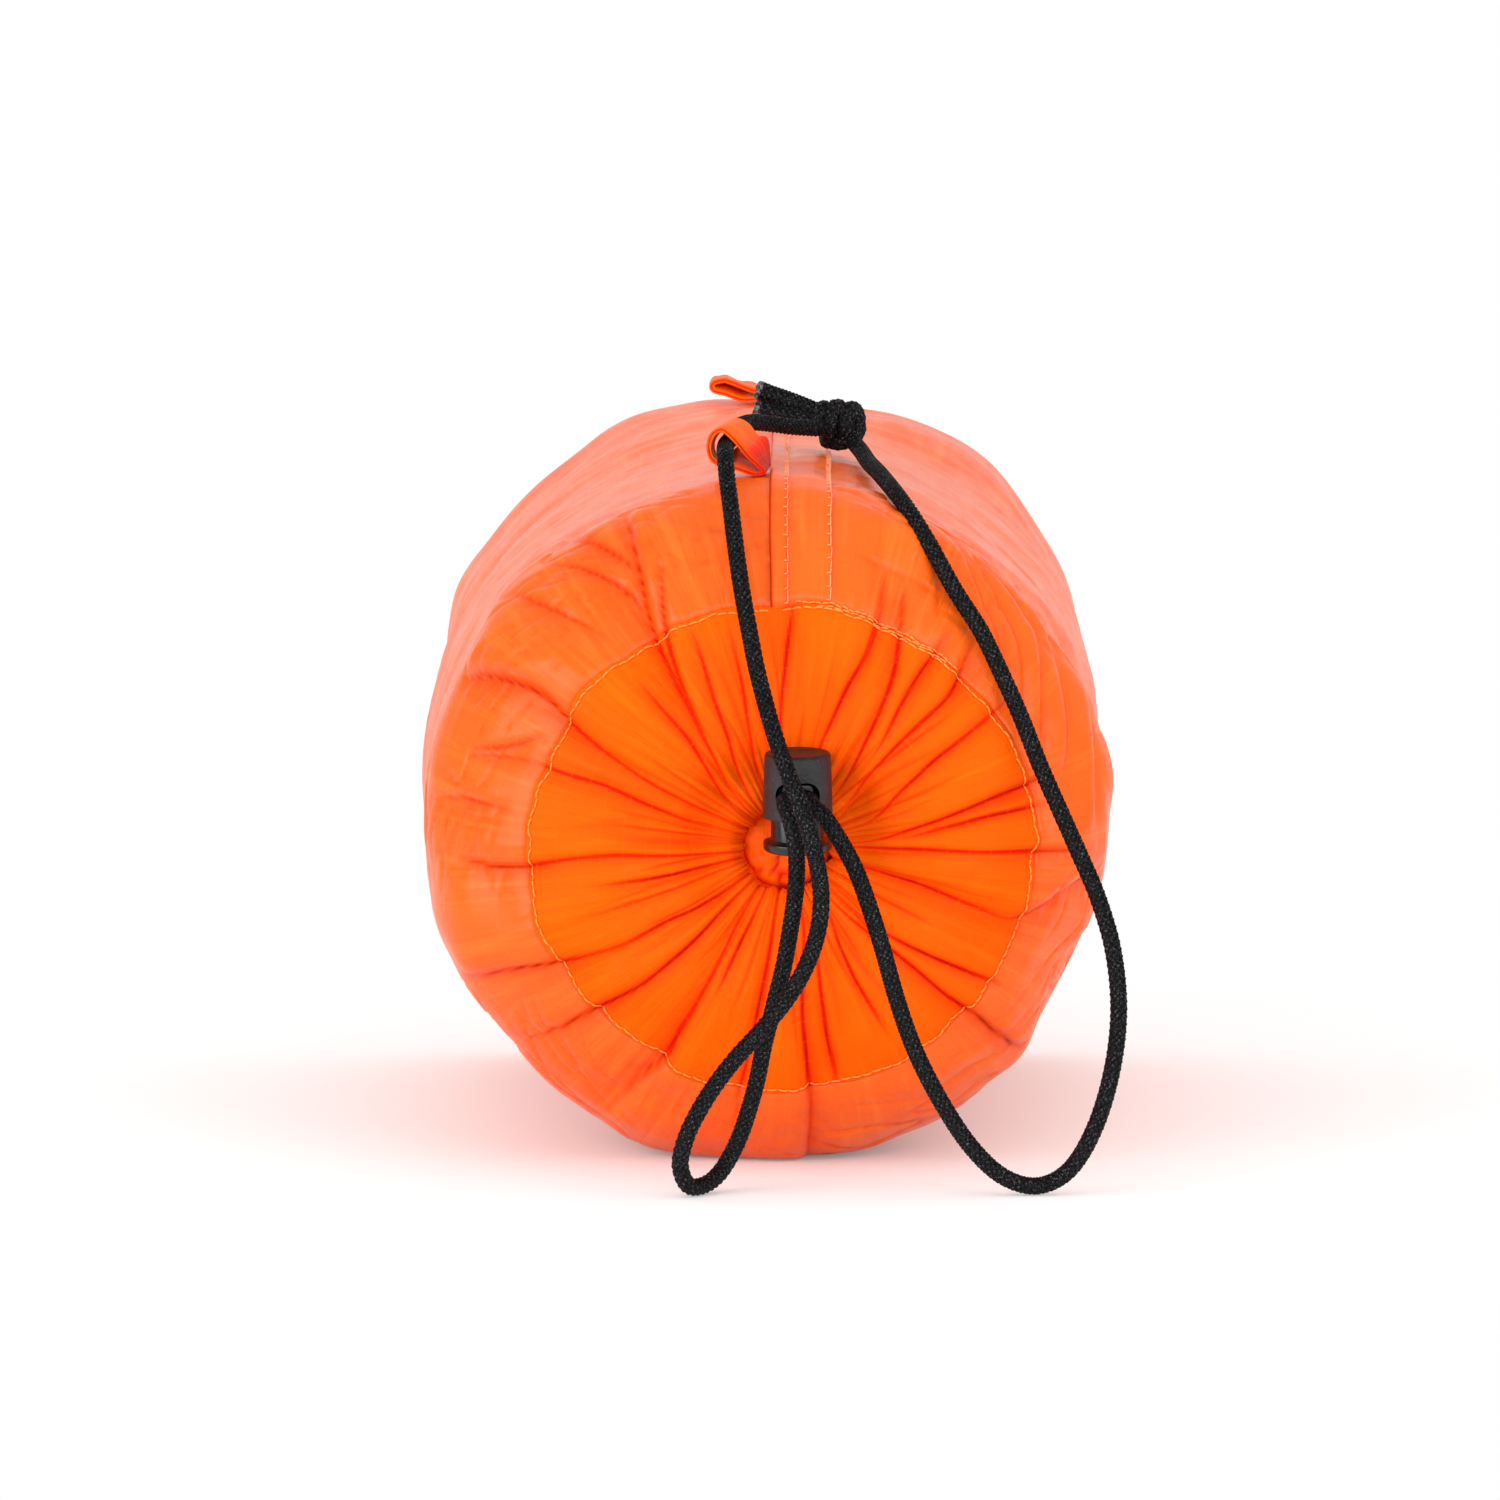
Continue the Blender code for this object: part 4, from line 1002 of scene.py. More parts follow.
    def pleats(self, distance: Array, angle: Array, radius: Array) -> Surface:
        """The fine pleats that crowd into the mouth, and the gathers just outside the stitching.

        Args:
            distance: millimetres from the crest, as the cloth was cut.
            angle: degrees from the top toward +X.
            radius: from the mouth's axis.

        Returns:
            Their height, and the painted shade between two pleats at each point, from 0 to 1.
        """
        turn = np.radians(angle)
        ring = np.stack([np.cos(turn), np.sin(turn)], 1)
        wander = value_noise(np.column_stack([ring * 2.6, distance / 40]), 3)
        fine = value_noise(np.column_stack([ring * 6.0, distance / 30]), 4)
        total, valley = np.zeros_like(distance), np.zeros_like(distance)
        for count, reach, depth, seed in ((17, 60, 1.3, 5), (37, 42, 0.75, 6), (74, 21, 0.34, 7)):
            phase = count * turn / (2 * math.pi) + 0.55 * wander + 0.3 * fine
            crown = np.abs(np.sin(math.pi * phase)) ** 0.75
            patch = 0.65 + 0.35 * value_noise(np.column_stack([ring * 4.0, distance / 50]), seed)
            share = smooth_step((reach - radius) / (reach * 0.62)) * patch
            total += depth * share * (crown - 0.7)
            # Painted shade between the pleats
            valley = np.maximum(valley, 0.46 * share * (1 - crown) ** 2.0)
        gather = smooth_step((distance - 31) / 2.5) * smooth_step((54 - distance) / 20)
        where = 0.3 + 0.9 * np.exp(-((turned_from(angle, 24) / 24) ** 2))
        ripple = np.abs(np.sin(math.pi * (45 * turn / math.pi + 2.2 * fine + 1.4 * wander)))
        total += 0.6 * gather * where * (ripple - 0.6)
        streaks = np.abs(np.sin(math.pi * (78 * turn / math.pi + 2.6 * fine + 1.8 * wander)))
        near = smooth_step((distance - 32) / 1.5) * smooth_step((47 - distance) / 13)
        side = np.exp(-((turned_from(angle, 20) / 22) ** 2))
        total += 0.42 * near * (0.15 + side) * (streaks - 0.6)
        # The row of stitches draws the cloth in
        total -= 0.3 * np.exp(-(((distance - self.stitching) / 2.2) ** 2))
        return total, valley

    def crumples(self, distance: Array, angle: Array, radius: Array) -> Surface:
        """Slack of the filled sack: long creases round the body, and soft lumps of what is inside.

        Args:
            distance: millimetres from the crest.
            angle: degrees from the top toward +X.
            radius: from the mouth's axis.

        Returns:
            Their height, and the painted shade in the crushed shoulder's creases at each point, from 0 to
            1.
        """
        turn = np.radians(angle)
        x, z = np.sin(turn) * radius, np.cos(turn) * radius
        body = smooth_step((distance - 44) / 26)
        front = smooth_step((distance - 6) / 20) * (1 - body)
        bent = distance + 5 * value_noise(np.column_stack([x, z, distance]) / 34, 11)
        round_it = value_noise(np.column_stack([x / 30, z / 30, bent / 6.0]), 12)
        broad = value_noise(np.column_stack([x / 44, z / 44, bent / 15.0]), 13)
        lumps = value_noise(np.column_stack([x, z, distance]) / 38, 14)
        small = value_noise(np.column_stack([x, z, distance]) / 13, 15)
        crease = (1 - np.abs(round_it)) ** 3
        calm = smooth_step((self.end - distance) / 14)
        made = body * calm * (0.42 * crease + 0.8 * broad + 1.4 * lumps + 0.2 * small)
        # Sharp little creases where the shoulder is crushed, in patches
        bend = 0.9 * value_noise(np.column_stack([x, z, distance]) / 16, 19)
        web = np.zeros_like(distance)
        for across, along, seed in ((17.0, 6.5, 46), (8.0, 11.0, 47)):
            spots = np.column_stack([angle * radius / 57.3 / across, distance / along, bend])
            ridge = value_noise(spots, seed)
            patch = smooth_step(0.5 + 1.6 * value_noise(np.column_stack([x, z, distance]) / 24, seed + 9))
            web = np.maximum(web, np.clip(1 - np.abs(ridge) / 0.17, 0, 1) * patch)
        crushed = smooth_step((distance - 34) / 6) * smooth_step((104 - distance) / 40)
        made += crushed * (0.75 * small - 0.65 * web)
        # The crushed creases get painted shade
        return made + front * (0.45 * small + 0.55 * lumps), 0.2 * crushed * web**1.5

    def place(self, distance: Array, angle: Array, lift: Array | float) -> Surface:
        """Points on the folded cloth.

        Args:
            distance: millimetres from the crest.
            angle: degrees from the top toward +X.
            lift: millimetres above the cloth's outer face.

        Returns:
            The points, and the painted shade each gets in the folds.
        """
        shape = distance.shape
        cut, angle = distance.ravel().astype(float), angle.ravel().astype(float)
        distance = self.drawn(cut, angle)
        radius, y, middle_x, middle_z, flat, out, ahead = self.section(distance)
        height, painted_shade = self.relief(cut, distance, angle)
        # Its folds and hollows run out where the binding holds the wall's far edge
        height = height * smooth_step((self.end - distance) / self.bound_run)
        total = height + np.broadcast_to(lift, shape).ravel()
        turn = np.radians(angle)
        radius = radius + total * out
        z = middle_z + flat * radius * np.cos(turn)
        # The underside settles on the ground instead of passing through it
        z = np.where(z < 3, 0.5 * (z + np.sqrt(z * z + 1.0)), z)
        points = np.stack([middle_x + radius * np.sin(turn), y + total * ahead, z], 1)
        return points.reshape(*shape, 3), painted_shade.reshape(shape)

    def shell(
        self,
        name: str,
        distances: Array,
        lifts: Array,
        columns: int,
        thickness: float,
        finish: Finish,
        inner_every: int,
    ) -> Piece:
        """A closed piece of cloth all round the sack.

        Args:
            name: the piece's name.
            distances: where its rows lie.
            lifts: how far each row's outer face stands off the skin.
            columns: points in a row.
            thickness: of the cloth.
            finish: what it is made of.
            inner_every: the inner face keeps one row in this many.

        Returns:
            The piece.
        """
        angle = np.arange(columns) * 360.0 / columns
        inner = np.unique(np.r_[np.arange(0, len(distances), inner_every), len(distances) - 1])[::-1]
        where = np.concatenate([distances, distances[inner]])
        lift = np.concatenate([lifts, lifts[inner] - thickness])
        grid_d, grid_a = np.meshgrid(where, angle, indexing="ij")
        points, painted_shade = self.place(grid_d, grid_a, np.broadcast_to(lift[:, None], grid_d.shape))
        wide = np.linspace(0, 2 * math.pi * self.near_radius, columns + 1)
        cloth = grid_of(wide, where)
        return sheet_mesh(name, points[:, ::-1], cloth[:, ::-1], painted_shade[:, ::-1], finish, join_ends=True)


# The sack's pieces


@dataclass
class Sack:
    """The stuff sack: wall, gathered hem, base, binding, seam, hang loops, sewing and what fills it."""

    skin: SackSkin = field(default_factory=SackSkin)
    wall_cloth: float = 0.6
    hem_cloth: float = 0.9
    seam_left: float = 0.5
    seam_lines: Flat = (4.4, 13.6)
    base_radius: float = 72.9
    tape_inner: float = 73.3
    tape_outer: float = 76.1
    base_y: float = 118.6
    base_z: float = 77.5
    lowest_fill: float = 3.2

    def build_wall(self) -> Piece:
        """The round wall, from under the hem to the base binding."""
        skin = self.skin
        under = np.array([26.5, 28.5, 30.2, 31.2, 31.9, 32.4, 32.9, 33.5])
        depth = np.array([-1.9, -1.8, -1.6, -1.25, -0.6, -0.16, -0.04, 0.0])
        shoulder = np.arange(34.1, 72, 0.8)
        body = np.linspace(72.5, skin.end - 16, 74)
        turn = np.linspace(skin.end - 14.5, skin.end - 0.2, 10)
        distances = np.concatenate([under, shoulder, body, turn])
        lifts = np.concatenate([depth, np.zeros(len(distances) - len(depth))])
        wall = skin.shell("nylon_wall", distances, lifts, 480, self.wall_cloth, Finish.WALL, 4)
        return dressed(wall, "sack", "coated_nylon", "sack_wall")

    def build_hem(self) -> Piece:
        """The doubled, gathered hem, over the lip and down the throat."""
        skin = self.skin
        throat = np.linspace(skin.start + 0.1, -12.5, 18)
        dome = np.arange(-11.9, 30.6, 0.62)
        edge = np.array([30.9, 31.4, 31.8, 32.1])
        distances = np.concatenate([throat, dome, edge])
        lifts = np.concatenate([np.full(len(throat) + len(dome), 0.06), [0.06, 0.05, 0.0, -0.3]])
        hem = skin.shell("gathered_hem", distances, lifts, 600, self.hem_cloth, Finish.HEM, 3)
        return dressed(hem, "sack", "hem_nylon", "mouth_hem")

    def build_base(self) -> Piece:
        """The flat round end panel, slightly crowned and puckered by its seam."""
        columns, rings = 180, 34
        share = np.linspace(0.012, 1, rings)
        turn = np.radians(np.arange(columns) * 360 / columns)
        grid_s, grid_t = np.meshgrid(share, turn, indexing="ij")
        radius = grid_s * self.base_radius
        x, z = radius * np.sin(grid_t), radius * np.cos(grid_t)
        flat = np.stack([x, z], -1).reshape(-1, 2)
        lumps = value_noise(np.column_stack([flat / 26, np.zeros(len(flat))]), 21).reshape(x.shape)
        small = value_noise(np.column_stack([flat / 9, np.zeros(len(flat))]), 22).reshape(x.shape)
        pucker = np.abs(np.sin(31 * grid_t + 2 * lumps)) * smooth_step((grid_s - 0.6) / 0.4)
        crown = 0.4 * (1 - grid_s**2)
        calm = smooth_step((1.02 - grid_s) / 0.15)
        uneven = -0.5 * pucker * calm + 0.32 * lumps * calm + 0.12 * small * calm
        y = self.base_y + crown * 0.8 + uneven - 0.3 * grid_s**8
        front = np.stack([x, y, self.base_z + z], -1)
        back = front.copy()
        back[..., 1] -= 0.9
        rows = np.concatenate([front, back[::-1]])
        cloth = np.concatenate([rows[..., [0, 2]], rows[:, :1][..., [0, 2]]], 1)
        # The puckers get painted shade
        fold = np.concatenate([pucker * 0.5, pucker[::-1] * 0.5])
        base = sheet_mesh("end_panel", rows, cloth, fold, Finish.WALL, caps=True)
        outward(base)
        return dressed(base, "sack", "coated_nylon", "sack_base")

    def build_binding(self) -> Piece:
        """The folded tape that binds the wall to the base, with its row of stitches."""
        columns, corners = 320, 14
        turn = np.radians(np.arange(columns) * 360 / columns)
        middle_r, half_r = (self.tape_inner + self.tape_outer) / 2, (self.tape_outer - self.tape_inner) / 2
        a = np.radians(np.arange(corners) * 360 / corners)
        around = np.stack([np.sign(wave) * np.abs(wave) ** 0.55 for wave in (np.cos(a), np.sin(a))], 1)
        ring = np.stack([np.cos(turn), np.sin(turn), 0 * turn], 1)
        wobble = 0.14 * value_noise(ring * 9, 31) + 0.12 * np.abs(np.sin(turn * 90))
        rows = []
        for across, along in around:
            radius = middle_r + half_r * 0.93 * across * (1 - wobble * 0.25)
            y = 117.9 + 1.2 * along * (1 - wobble * 0.3)
            z = self.base_z + radius * np.cos(turn)
            rows.append(np.stack([radius * np.sin(turn), y + 0 * turn, z], 1))
        rows = np.array(rows)
        wide = np.linspace(0, 2 * math.pi * middle_r, columns + 1)
        cloth = grid_of(wide, np.linspace(0, 9, corners))
        # Painted shade where the tape ripples
        fold = np.broadcast_to(wobble[None, :] * 2, rows.shape[:2])
        tape = sheet_mesh("bound_edge", rows, cloth, fold, Finish.BINDING, join_ends=True)
        outward(tape)
        return dressed(tape, "sack", "binding_tape", "base_binding")

    def seam_points(self, distance: Array, x: Array, lift: Array | float) -> Surface:
        """Points near the top seam, given by distance from the crest and X.

        Args:
            distance: millimetres from the crest.
            x: their X.
            lift: millimetres above the cloth.

        Returns:
            The points, and how deep in a fold each lies.
        """
        section = self.skin.section(distance.ravel())
        radius, middle_x = section[0], section[2]
        reach = (x.ravel() - middle_x) / (radius + 0.2)
        angle = np.degrees(np.arcsin(np.clip(reach, -1, 1)))
        return self.skin.place(distance, angle.reshape(distance.shape), lift)

    def build_seam(self) -> Piece:
        """The felled seam along the top: a strip of folded cloth, lapped to one side."""
        under = np.array([30.4, 31.2, 31.8, 32.2, 32.6])
        body = np.linspace(72.5, self.skin.end - 1.5, 96)
        distances = np.concatenate([under, np.arange(33.2, 72, 1.0), body])
        wide = [0.0, 0.12, 0.35, 0.8, 1.6, 2.6, 3.9, 5.5, 7.5, 9.5, 10.9, 12.0, 12.6, 13.1, 13.4, 13.5]
        rise = [0.2, 0.8, 1.1, 1.15, 1.0, 0.8, 0.45, 0.65, 0.8, 0.78, 0.7, 0.6, 0.5, 0.36, 0.3, 0.12]
        grid_d, grid_x = np.meshgrid(distances, np.array(wide) + self.seam_left, indexing="ij")
        lift = np.broadcast_to(np.array(rise)[None, :], grid_d.shape)
        tucked = np.interp(distances, [30.4, 31.8, 32.8], [-1.9, -1.2, 0.0])[:, None]
        top, painted_shade = self.seam_points(grid_d, grid_x, lift + tucked)
        foot = self.seam_points(grid_d[:, ::-1], grid_x[:, ::-1], 0.06 + tucked)[0]
        # Painted shade along the strip's folded edges and in its dip, on top of the skin's own painted
        # shade
        edge = np.array([1, 0.95, 0.5, 0.1, 0, 0, 0.25, 0.05, 0, 0, 0, 0, 0, 0, 0.2, 0.5])
        shade = np.maximum(painted_shade * 0.6, edge[None, :])
        rows = np.concatenate([top, foot], 1)
        cloth_x = np.concatenate([grid_x, grid_x[:, ::-1], grid_x[:, :1]], 1)
        cloth = np.stack([cloth_x, np.broadcast_to(distances[:, None], cloth_x.shape)], -1)
        fold = np.concatenate([shade, shade[:, ::-1]], 1)
        seam = sheet_mesh("felled_seam", rows, cloth, fold, Finish.WALL, caps=True)
        outward(seam)
        return dressed(seam, "sack", "coated_nylon", "side_seam_band")

    def build_contents(self) -> Piece:
        """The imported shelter: a crumpled roll that fills the sack and shows through the mouth."""
        skin = self.skin
        distances = np.concatenate([np.linspace(-2, 66, 34), np.linspace(70, skin.end - 6, 34)])
        columns = 120
        angle = np.arange(columns) * 360.0 / columns
        grid_d, grid_a = np.meshgrid(distances, angle, indexing="ij")
        radius, y, middle_x, middle_z, flat, out, ahead = skin.section(grid_d.ravel())
        turn = np.radians(grid_a.ravel())
        spot = np.column_stack([np.sin(turn) * radius, np.cos(turn) * radius, y])
        crease = (1 - np.abs(value_noise(spot / 11, 41))) ** 3
        sink = 6.6 + 1.4 * crease + 1.2 * value_noise(spot / 20, 42)
        sink = sink + 4.5 * (1 - smooth_step((grid_d.ravel() - 10) / 26))
        radius = np.maximum(radius - sink * out, 1.0)
        z = np.maximum(middle_z + flat * radius * np.cos(turn), self.lowest_fill)
        points = np.stack([middle_x + radius * np.sin(turn), y - sink * ahead, z], 1)
        points = points.reshape(*grid_d.shape, 3)
        # In the mouth the bundle bulges forward between the gathered folds
        plug = [(0.4, -112.9), (1.6, -113.1), (3.0, -113.3), (4.6, -113.4), (6.2, -113.3), (7.8, -112.8)]
        plug += [(9.0, -111.9), (9.8, -110.6), (10.2, -108.6), (10.4, -106.0), (11.0, -103.0)]
        plug.append((12.6, -101.0))
        turned = np.radians(angle)
        rings = []
        for r, y in plug:
            x = skin.mouth_x + r * np.sin(turned)
            rings.append(np.stack([x, 0 * turned + y, skin.mouth_z + r * np.cos(turned)], 1))
        inner = np.array(rings)
        spots = inner.reshape(-1, 3)
        dent = (1 - np.abs(value_noise(spots / 4.2, 43))) ** 3 - 0.35
        inner[..., 1] += (1.3 * dent + 0.6 * value_noise(spots / 1.9, 44)).reshape(inner.shape[:2])
        rows = np.concatenate([inner, points])
        cloth = np.concatenate([rows[..., [0, 2]], rows[:, :1][..., [0, 2]]], 1)
        # The bundle's dents and creases get painted shade
        fold = np.concatenate([np.clip(dent, 0, 1).reshape(inner.shape[:2]), crease.reshape(grid_d.shape)])
        bundle = sheet_mesh("shelter_roll", rows, cloth, fold, Finish.SHELTER, caps=True)
        outward(bundle)
        return dressed(bundle, "sack", "shelter_nylon", "packed_shelter")

    def build_tuck(self) -> Piece:
        """The inner edge of the hem, which curls up inside the mouth on the left."""
        count, across = 64, 18
        share = np.linspace(0, 1, count)
        angle = np.radians(336 - 156 * share)
        swell = np.sin(math.pi * share**0.75) ** 0.9
        u = np.linspace(0, 1, across)
        arch = np.sin(math.pi * np.clip(u * 1.15, 0, 1)) ** 0.8
        grid_s, grid_u = np.meshgrid(share, u, indexing="ij")
        radius = 12.2 - 5.0 * u[None, :] * (0.6 + 0.4 * swell[:, None])
        spots = np.stack([grid_s * 9, grid_u * 2, 0 * grid_u], -1).reshape(-1, 3)
        radius = radius + 0.35 * value_noise(spots, 45).reshape(grid_s.shape)
        y = -110.4 - 3.6 * arch[None, :] * swell[:, None] - 0.4 * np.sin(grid_s * 23) * grid_u
        x = self.skin.mouth_x + radius * np.sin(angle)[:, None]
        front = np.stack([x, y, self.skin.mouth_z + radius * np.cos(angle)[:, None]], -1)
        back = front[:, ::-1].copy()
        back[..., 1] += 0.55
        rows = np.concatenate([front, back], 1)
        wide = np.arange(2 * across + 1) * 0.35
        cloth = grid_of(wide, 14 * share)
        # Painted shade along both edges of the curl
        fold = np.concatenate([1.4 * (1 - arch) ** 0.85, 1.4 * (1 - arch[::-1])])
        fold = np.broadcast_to(fold, rows.shape[:2])
        made = sheet_mesh("hem_inner_edge", rows, cloth, fold, Finish.HEM, caps=True)
        outward(made)
        return dressed(made, "sack", "hem_nylon")

    def build(self) -> list[Piece]:
        """Builds every cloth piece of the sack."""
        return [
            self.build_wall(),
            self.build_hem(),
            self.build_base(),
            self.build_binding(),
            self.build_seam(),
            self.build_contents(),
            self.build_tuck(),
        ]


@dataclass
class Sewing:
    """The rows of thread: round the hem, along the felled seam and round the base."""

    sack: Sack
    thread: float = 0.36
    sides: int = 6
    hem_row: float = 55.0
    base_row: float = 74.7
    base_face: float = 119.02
    seam_start: float = 32.6

    def stitch_rows(
        self, line: Line, length: float, pitch: float, bite: float, seed: int
    ) -> list[Array]:
        """Short bent stitches along a line on the cloth.

        Args:
            line: gives points for distances along it and heights above the cloth, as rows of two.
            length: the line's length.
            pitch: from stitch to stitch.
            bite: the share of the pitch that shows.
            seed: for the small unevenness.

        Returns:
            One array of centre points for each stitch.
        """
        chance = np.random.default_rng(seed)
        stitches = []
        for start in np.arange(0, length - pitch, pitch):
            t = np.linspace(0, 1, 6)
            lift = 0.30 * np.sin(math.pi * t) - 0.12
            sway = chance.uniform(-0.16, 0.16) + chance.uniform(-0.12, 0.12) * (t - 0.5) * 2
            stitches.append(line(np.stack([start + pitch * bite * t, lift, sway], 1)))
        return stitches

    def sewn(
        self, name: str, stitches: list[Array], finish: Finish = Finish.THREAD, thin: float = 1.0
    ) -> Piece:
        """Makes one piece of thread from many stitches, each a small bent bar.

        Args:
            name: the piece's name.
            stitches: the centre points of each.
            finish: its thread.
            thin: the share of the thread's thickness.

        Returns:
            The new object.
        """
        sides = self.sides
        vertices, faces = [], []
        for centre in stitches:
            way = np.gradient(centre, axis=0)
            way /= np.linalg.norm(way, axis=1)[:, None]
            side = np.cross(way, np.cross(way, [0.13, 0.31, 0.94]))
            side /= np.linalg.norm(side, axis=1)[:, None]
            other = np.cross(way, side)
            first = len(vertices)
            for i, point in enumerate(centre):
                thick = thin * self.thread / 2 * (0.6 if i in (0, len(centre) - 1) else 1.0)
                for k in range(sides):
                    a = 2 * math.pi * k / sides
                    vertices.append(point + thick * (math.cos(a) * side[i] + math.sin(a) * other[i]))
            for i in range(len(centre) - 1):
                for k in range(sides):
                    m = (k + 1) % sides
                    low, high = first + i * sides, first + (i + 1) * sides
                    faces.append((low + k, low + m, high + m, high + k))
            faces.append(tuple(first + k for k in range(sides))[::-1])
            faces.append(tuple(first + (len(centre) - 1) * sides + k for k in range(sides)))
        mesh = bpy.data.meshes.new(name)
        mesh.from_pydata((np.array(vertices) * MM).tolist(), [], faces)
        made = smooth_object(name, mesh, finish)
        outward(made)
        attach(made, "sack")
        return made

    def hem_line(self, offset: float, first: float = 0.0) -> Line:
        """The line of the hem's stitching, offset outwards, starting at an angle.

        Args:
            offset: millimetres outwards.
            first: degrees from the top.

        Returns:
            What stitch_rows asks for points.
        """
        skin = self.sack.skin

        def line(rows: Array) -> Array:
            """Points for (distance along, lift, sway) rows."""
            radius = skin.section(np.full(len(rows), skin.stitching + offset))[0]
            angle = first + np.degrees(rows[:, 0] / radius)
            wave = 0.35 * np.sin(np.radians(angle) * 17 + 1.0) + 0.25 * np.sin(np.radians(angle) * 41)
            distance = skin.stitching + offset - 0.5 + wave * 0.6 + rows[:, 2]
            return skin.place(distance, angle, 0.25 + rows[:, 1])[0]

        return line

    def seam_line(self, x: float, ticks: bool = False) -> Line:
        """One row of stitching along the felled seam, or its small side bars.

        Args:
            x: millimetres from the seam's left edge.
            ticks: whether the stitches lie across it.

        Returns:
            What stitch_rows asks for points.
        """
        sack = self.sack

        def line(rows: Array) -> Array:
            """Points for (distance along, lift, sway) rows."""
            along = np.full(len(rows), rows[0, 0]) if ticks else rows[:, 0]
            side = (rows[:, 0] - rows[0, 0]) if ticks else 0 * rows[:, 0]
            across = sack.seam_left + x + rows[:, 2] * 0.6 - side
            return sack.seam_points(self.seam_start + along, across, 0.62 + rows[:, 1])[0]

        return line

    def base_line(self) -> Line:
        """The row of stitching through the binding tape."""

        def line(rows: Array) -> Array:
            """Points for (distance along, lift, sway) rows."""
            turn = rows[:, 0] / self.base_row
            radius = self.base_row + rows[:, 2] * 0.5
            z = self.sack.base_z + radius * np.cos(turn)
            return np.stack([radius * np.sin(turn), self.base_face + rows[:, 1], z], 1)

        return line

    def build(self) -> list[Piece]:
        """Sews every row."""
        around = 2 * math.pi * self.hem_row
        hem = self.stitch_rows(self.hem_line(0.0), around, 2.3, 0.93, 51)
        hem += self.stitch_rows(self.hem_line(1.2, 3.0), 42, 1.5, 0.95, 52)
        hem += self.stitch_rows(self.hem_line(0.6, 8.0), 34, 1.9, 0.95, 53)
        length = self.sack.skin.end - 40.0
        seam = []
        for i, line_x in enumerate(self.sack.seam_lines):
            x = line_x - self.sack.seam_left
            seam += self.stitch_rows(self.seam_line(x), length, 2.6, 0.94, 54 + i)
            seam += self.stitch_rows(self.seam_line(x, True), length, 2.6, 0.34, 57 + i)
        base = self.stitch_rows(self.base_line(), 2 * math.pi * self.base_row, 3.0, 0.8, 60)
        return [
            self.sewn("hem_stitching", hem),
            self.sewn("seam_stitching", seam, Finish.SEAM_THREAD, 0.7),
            self.sewn("base_stitching", base),
        ]


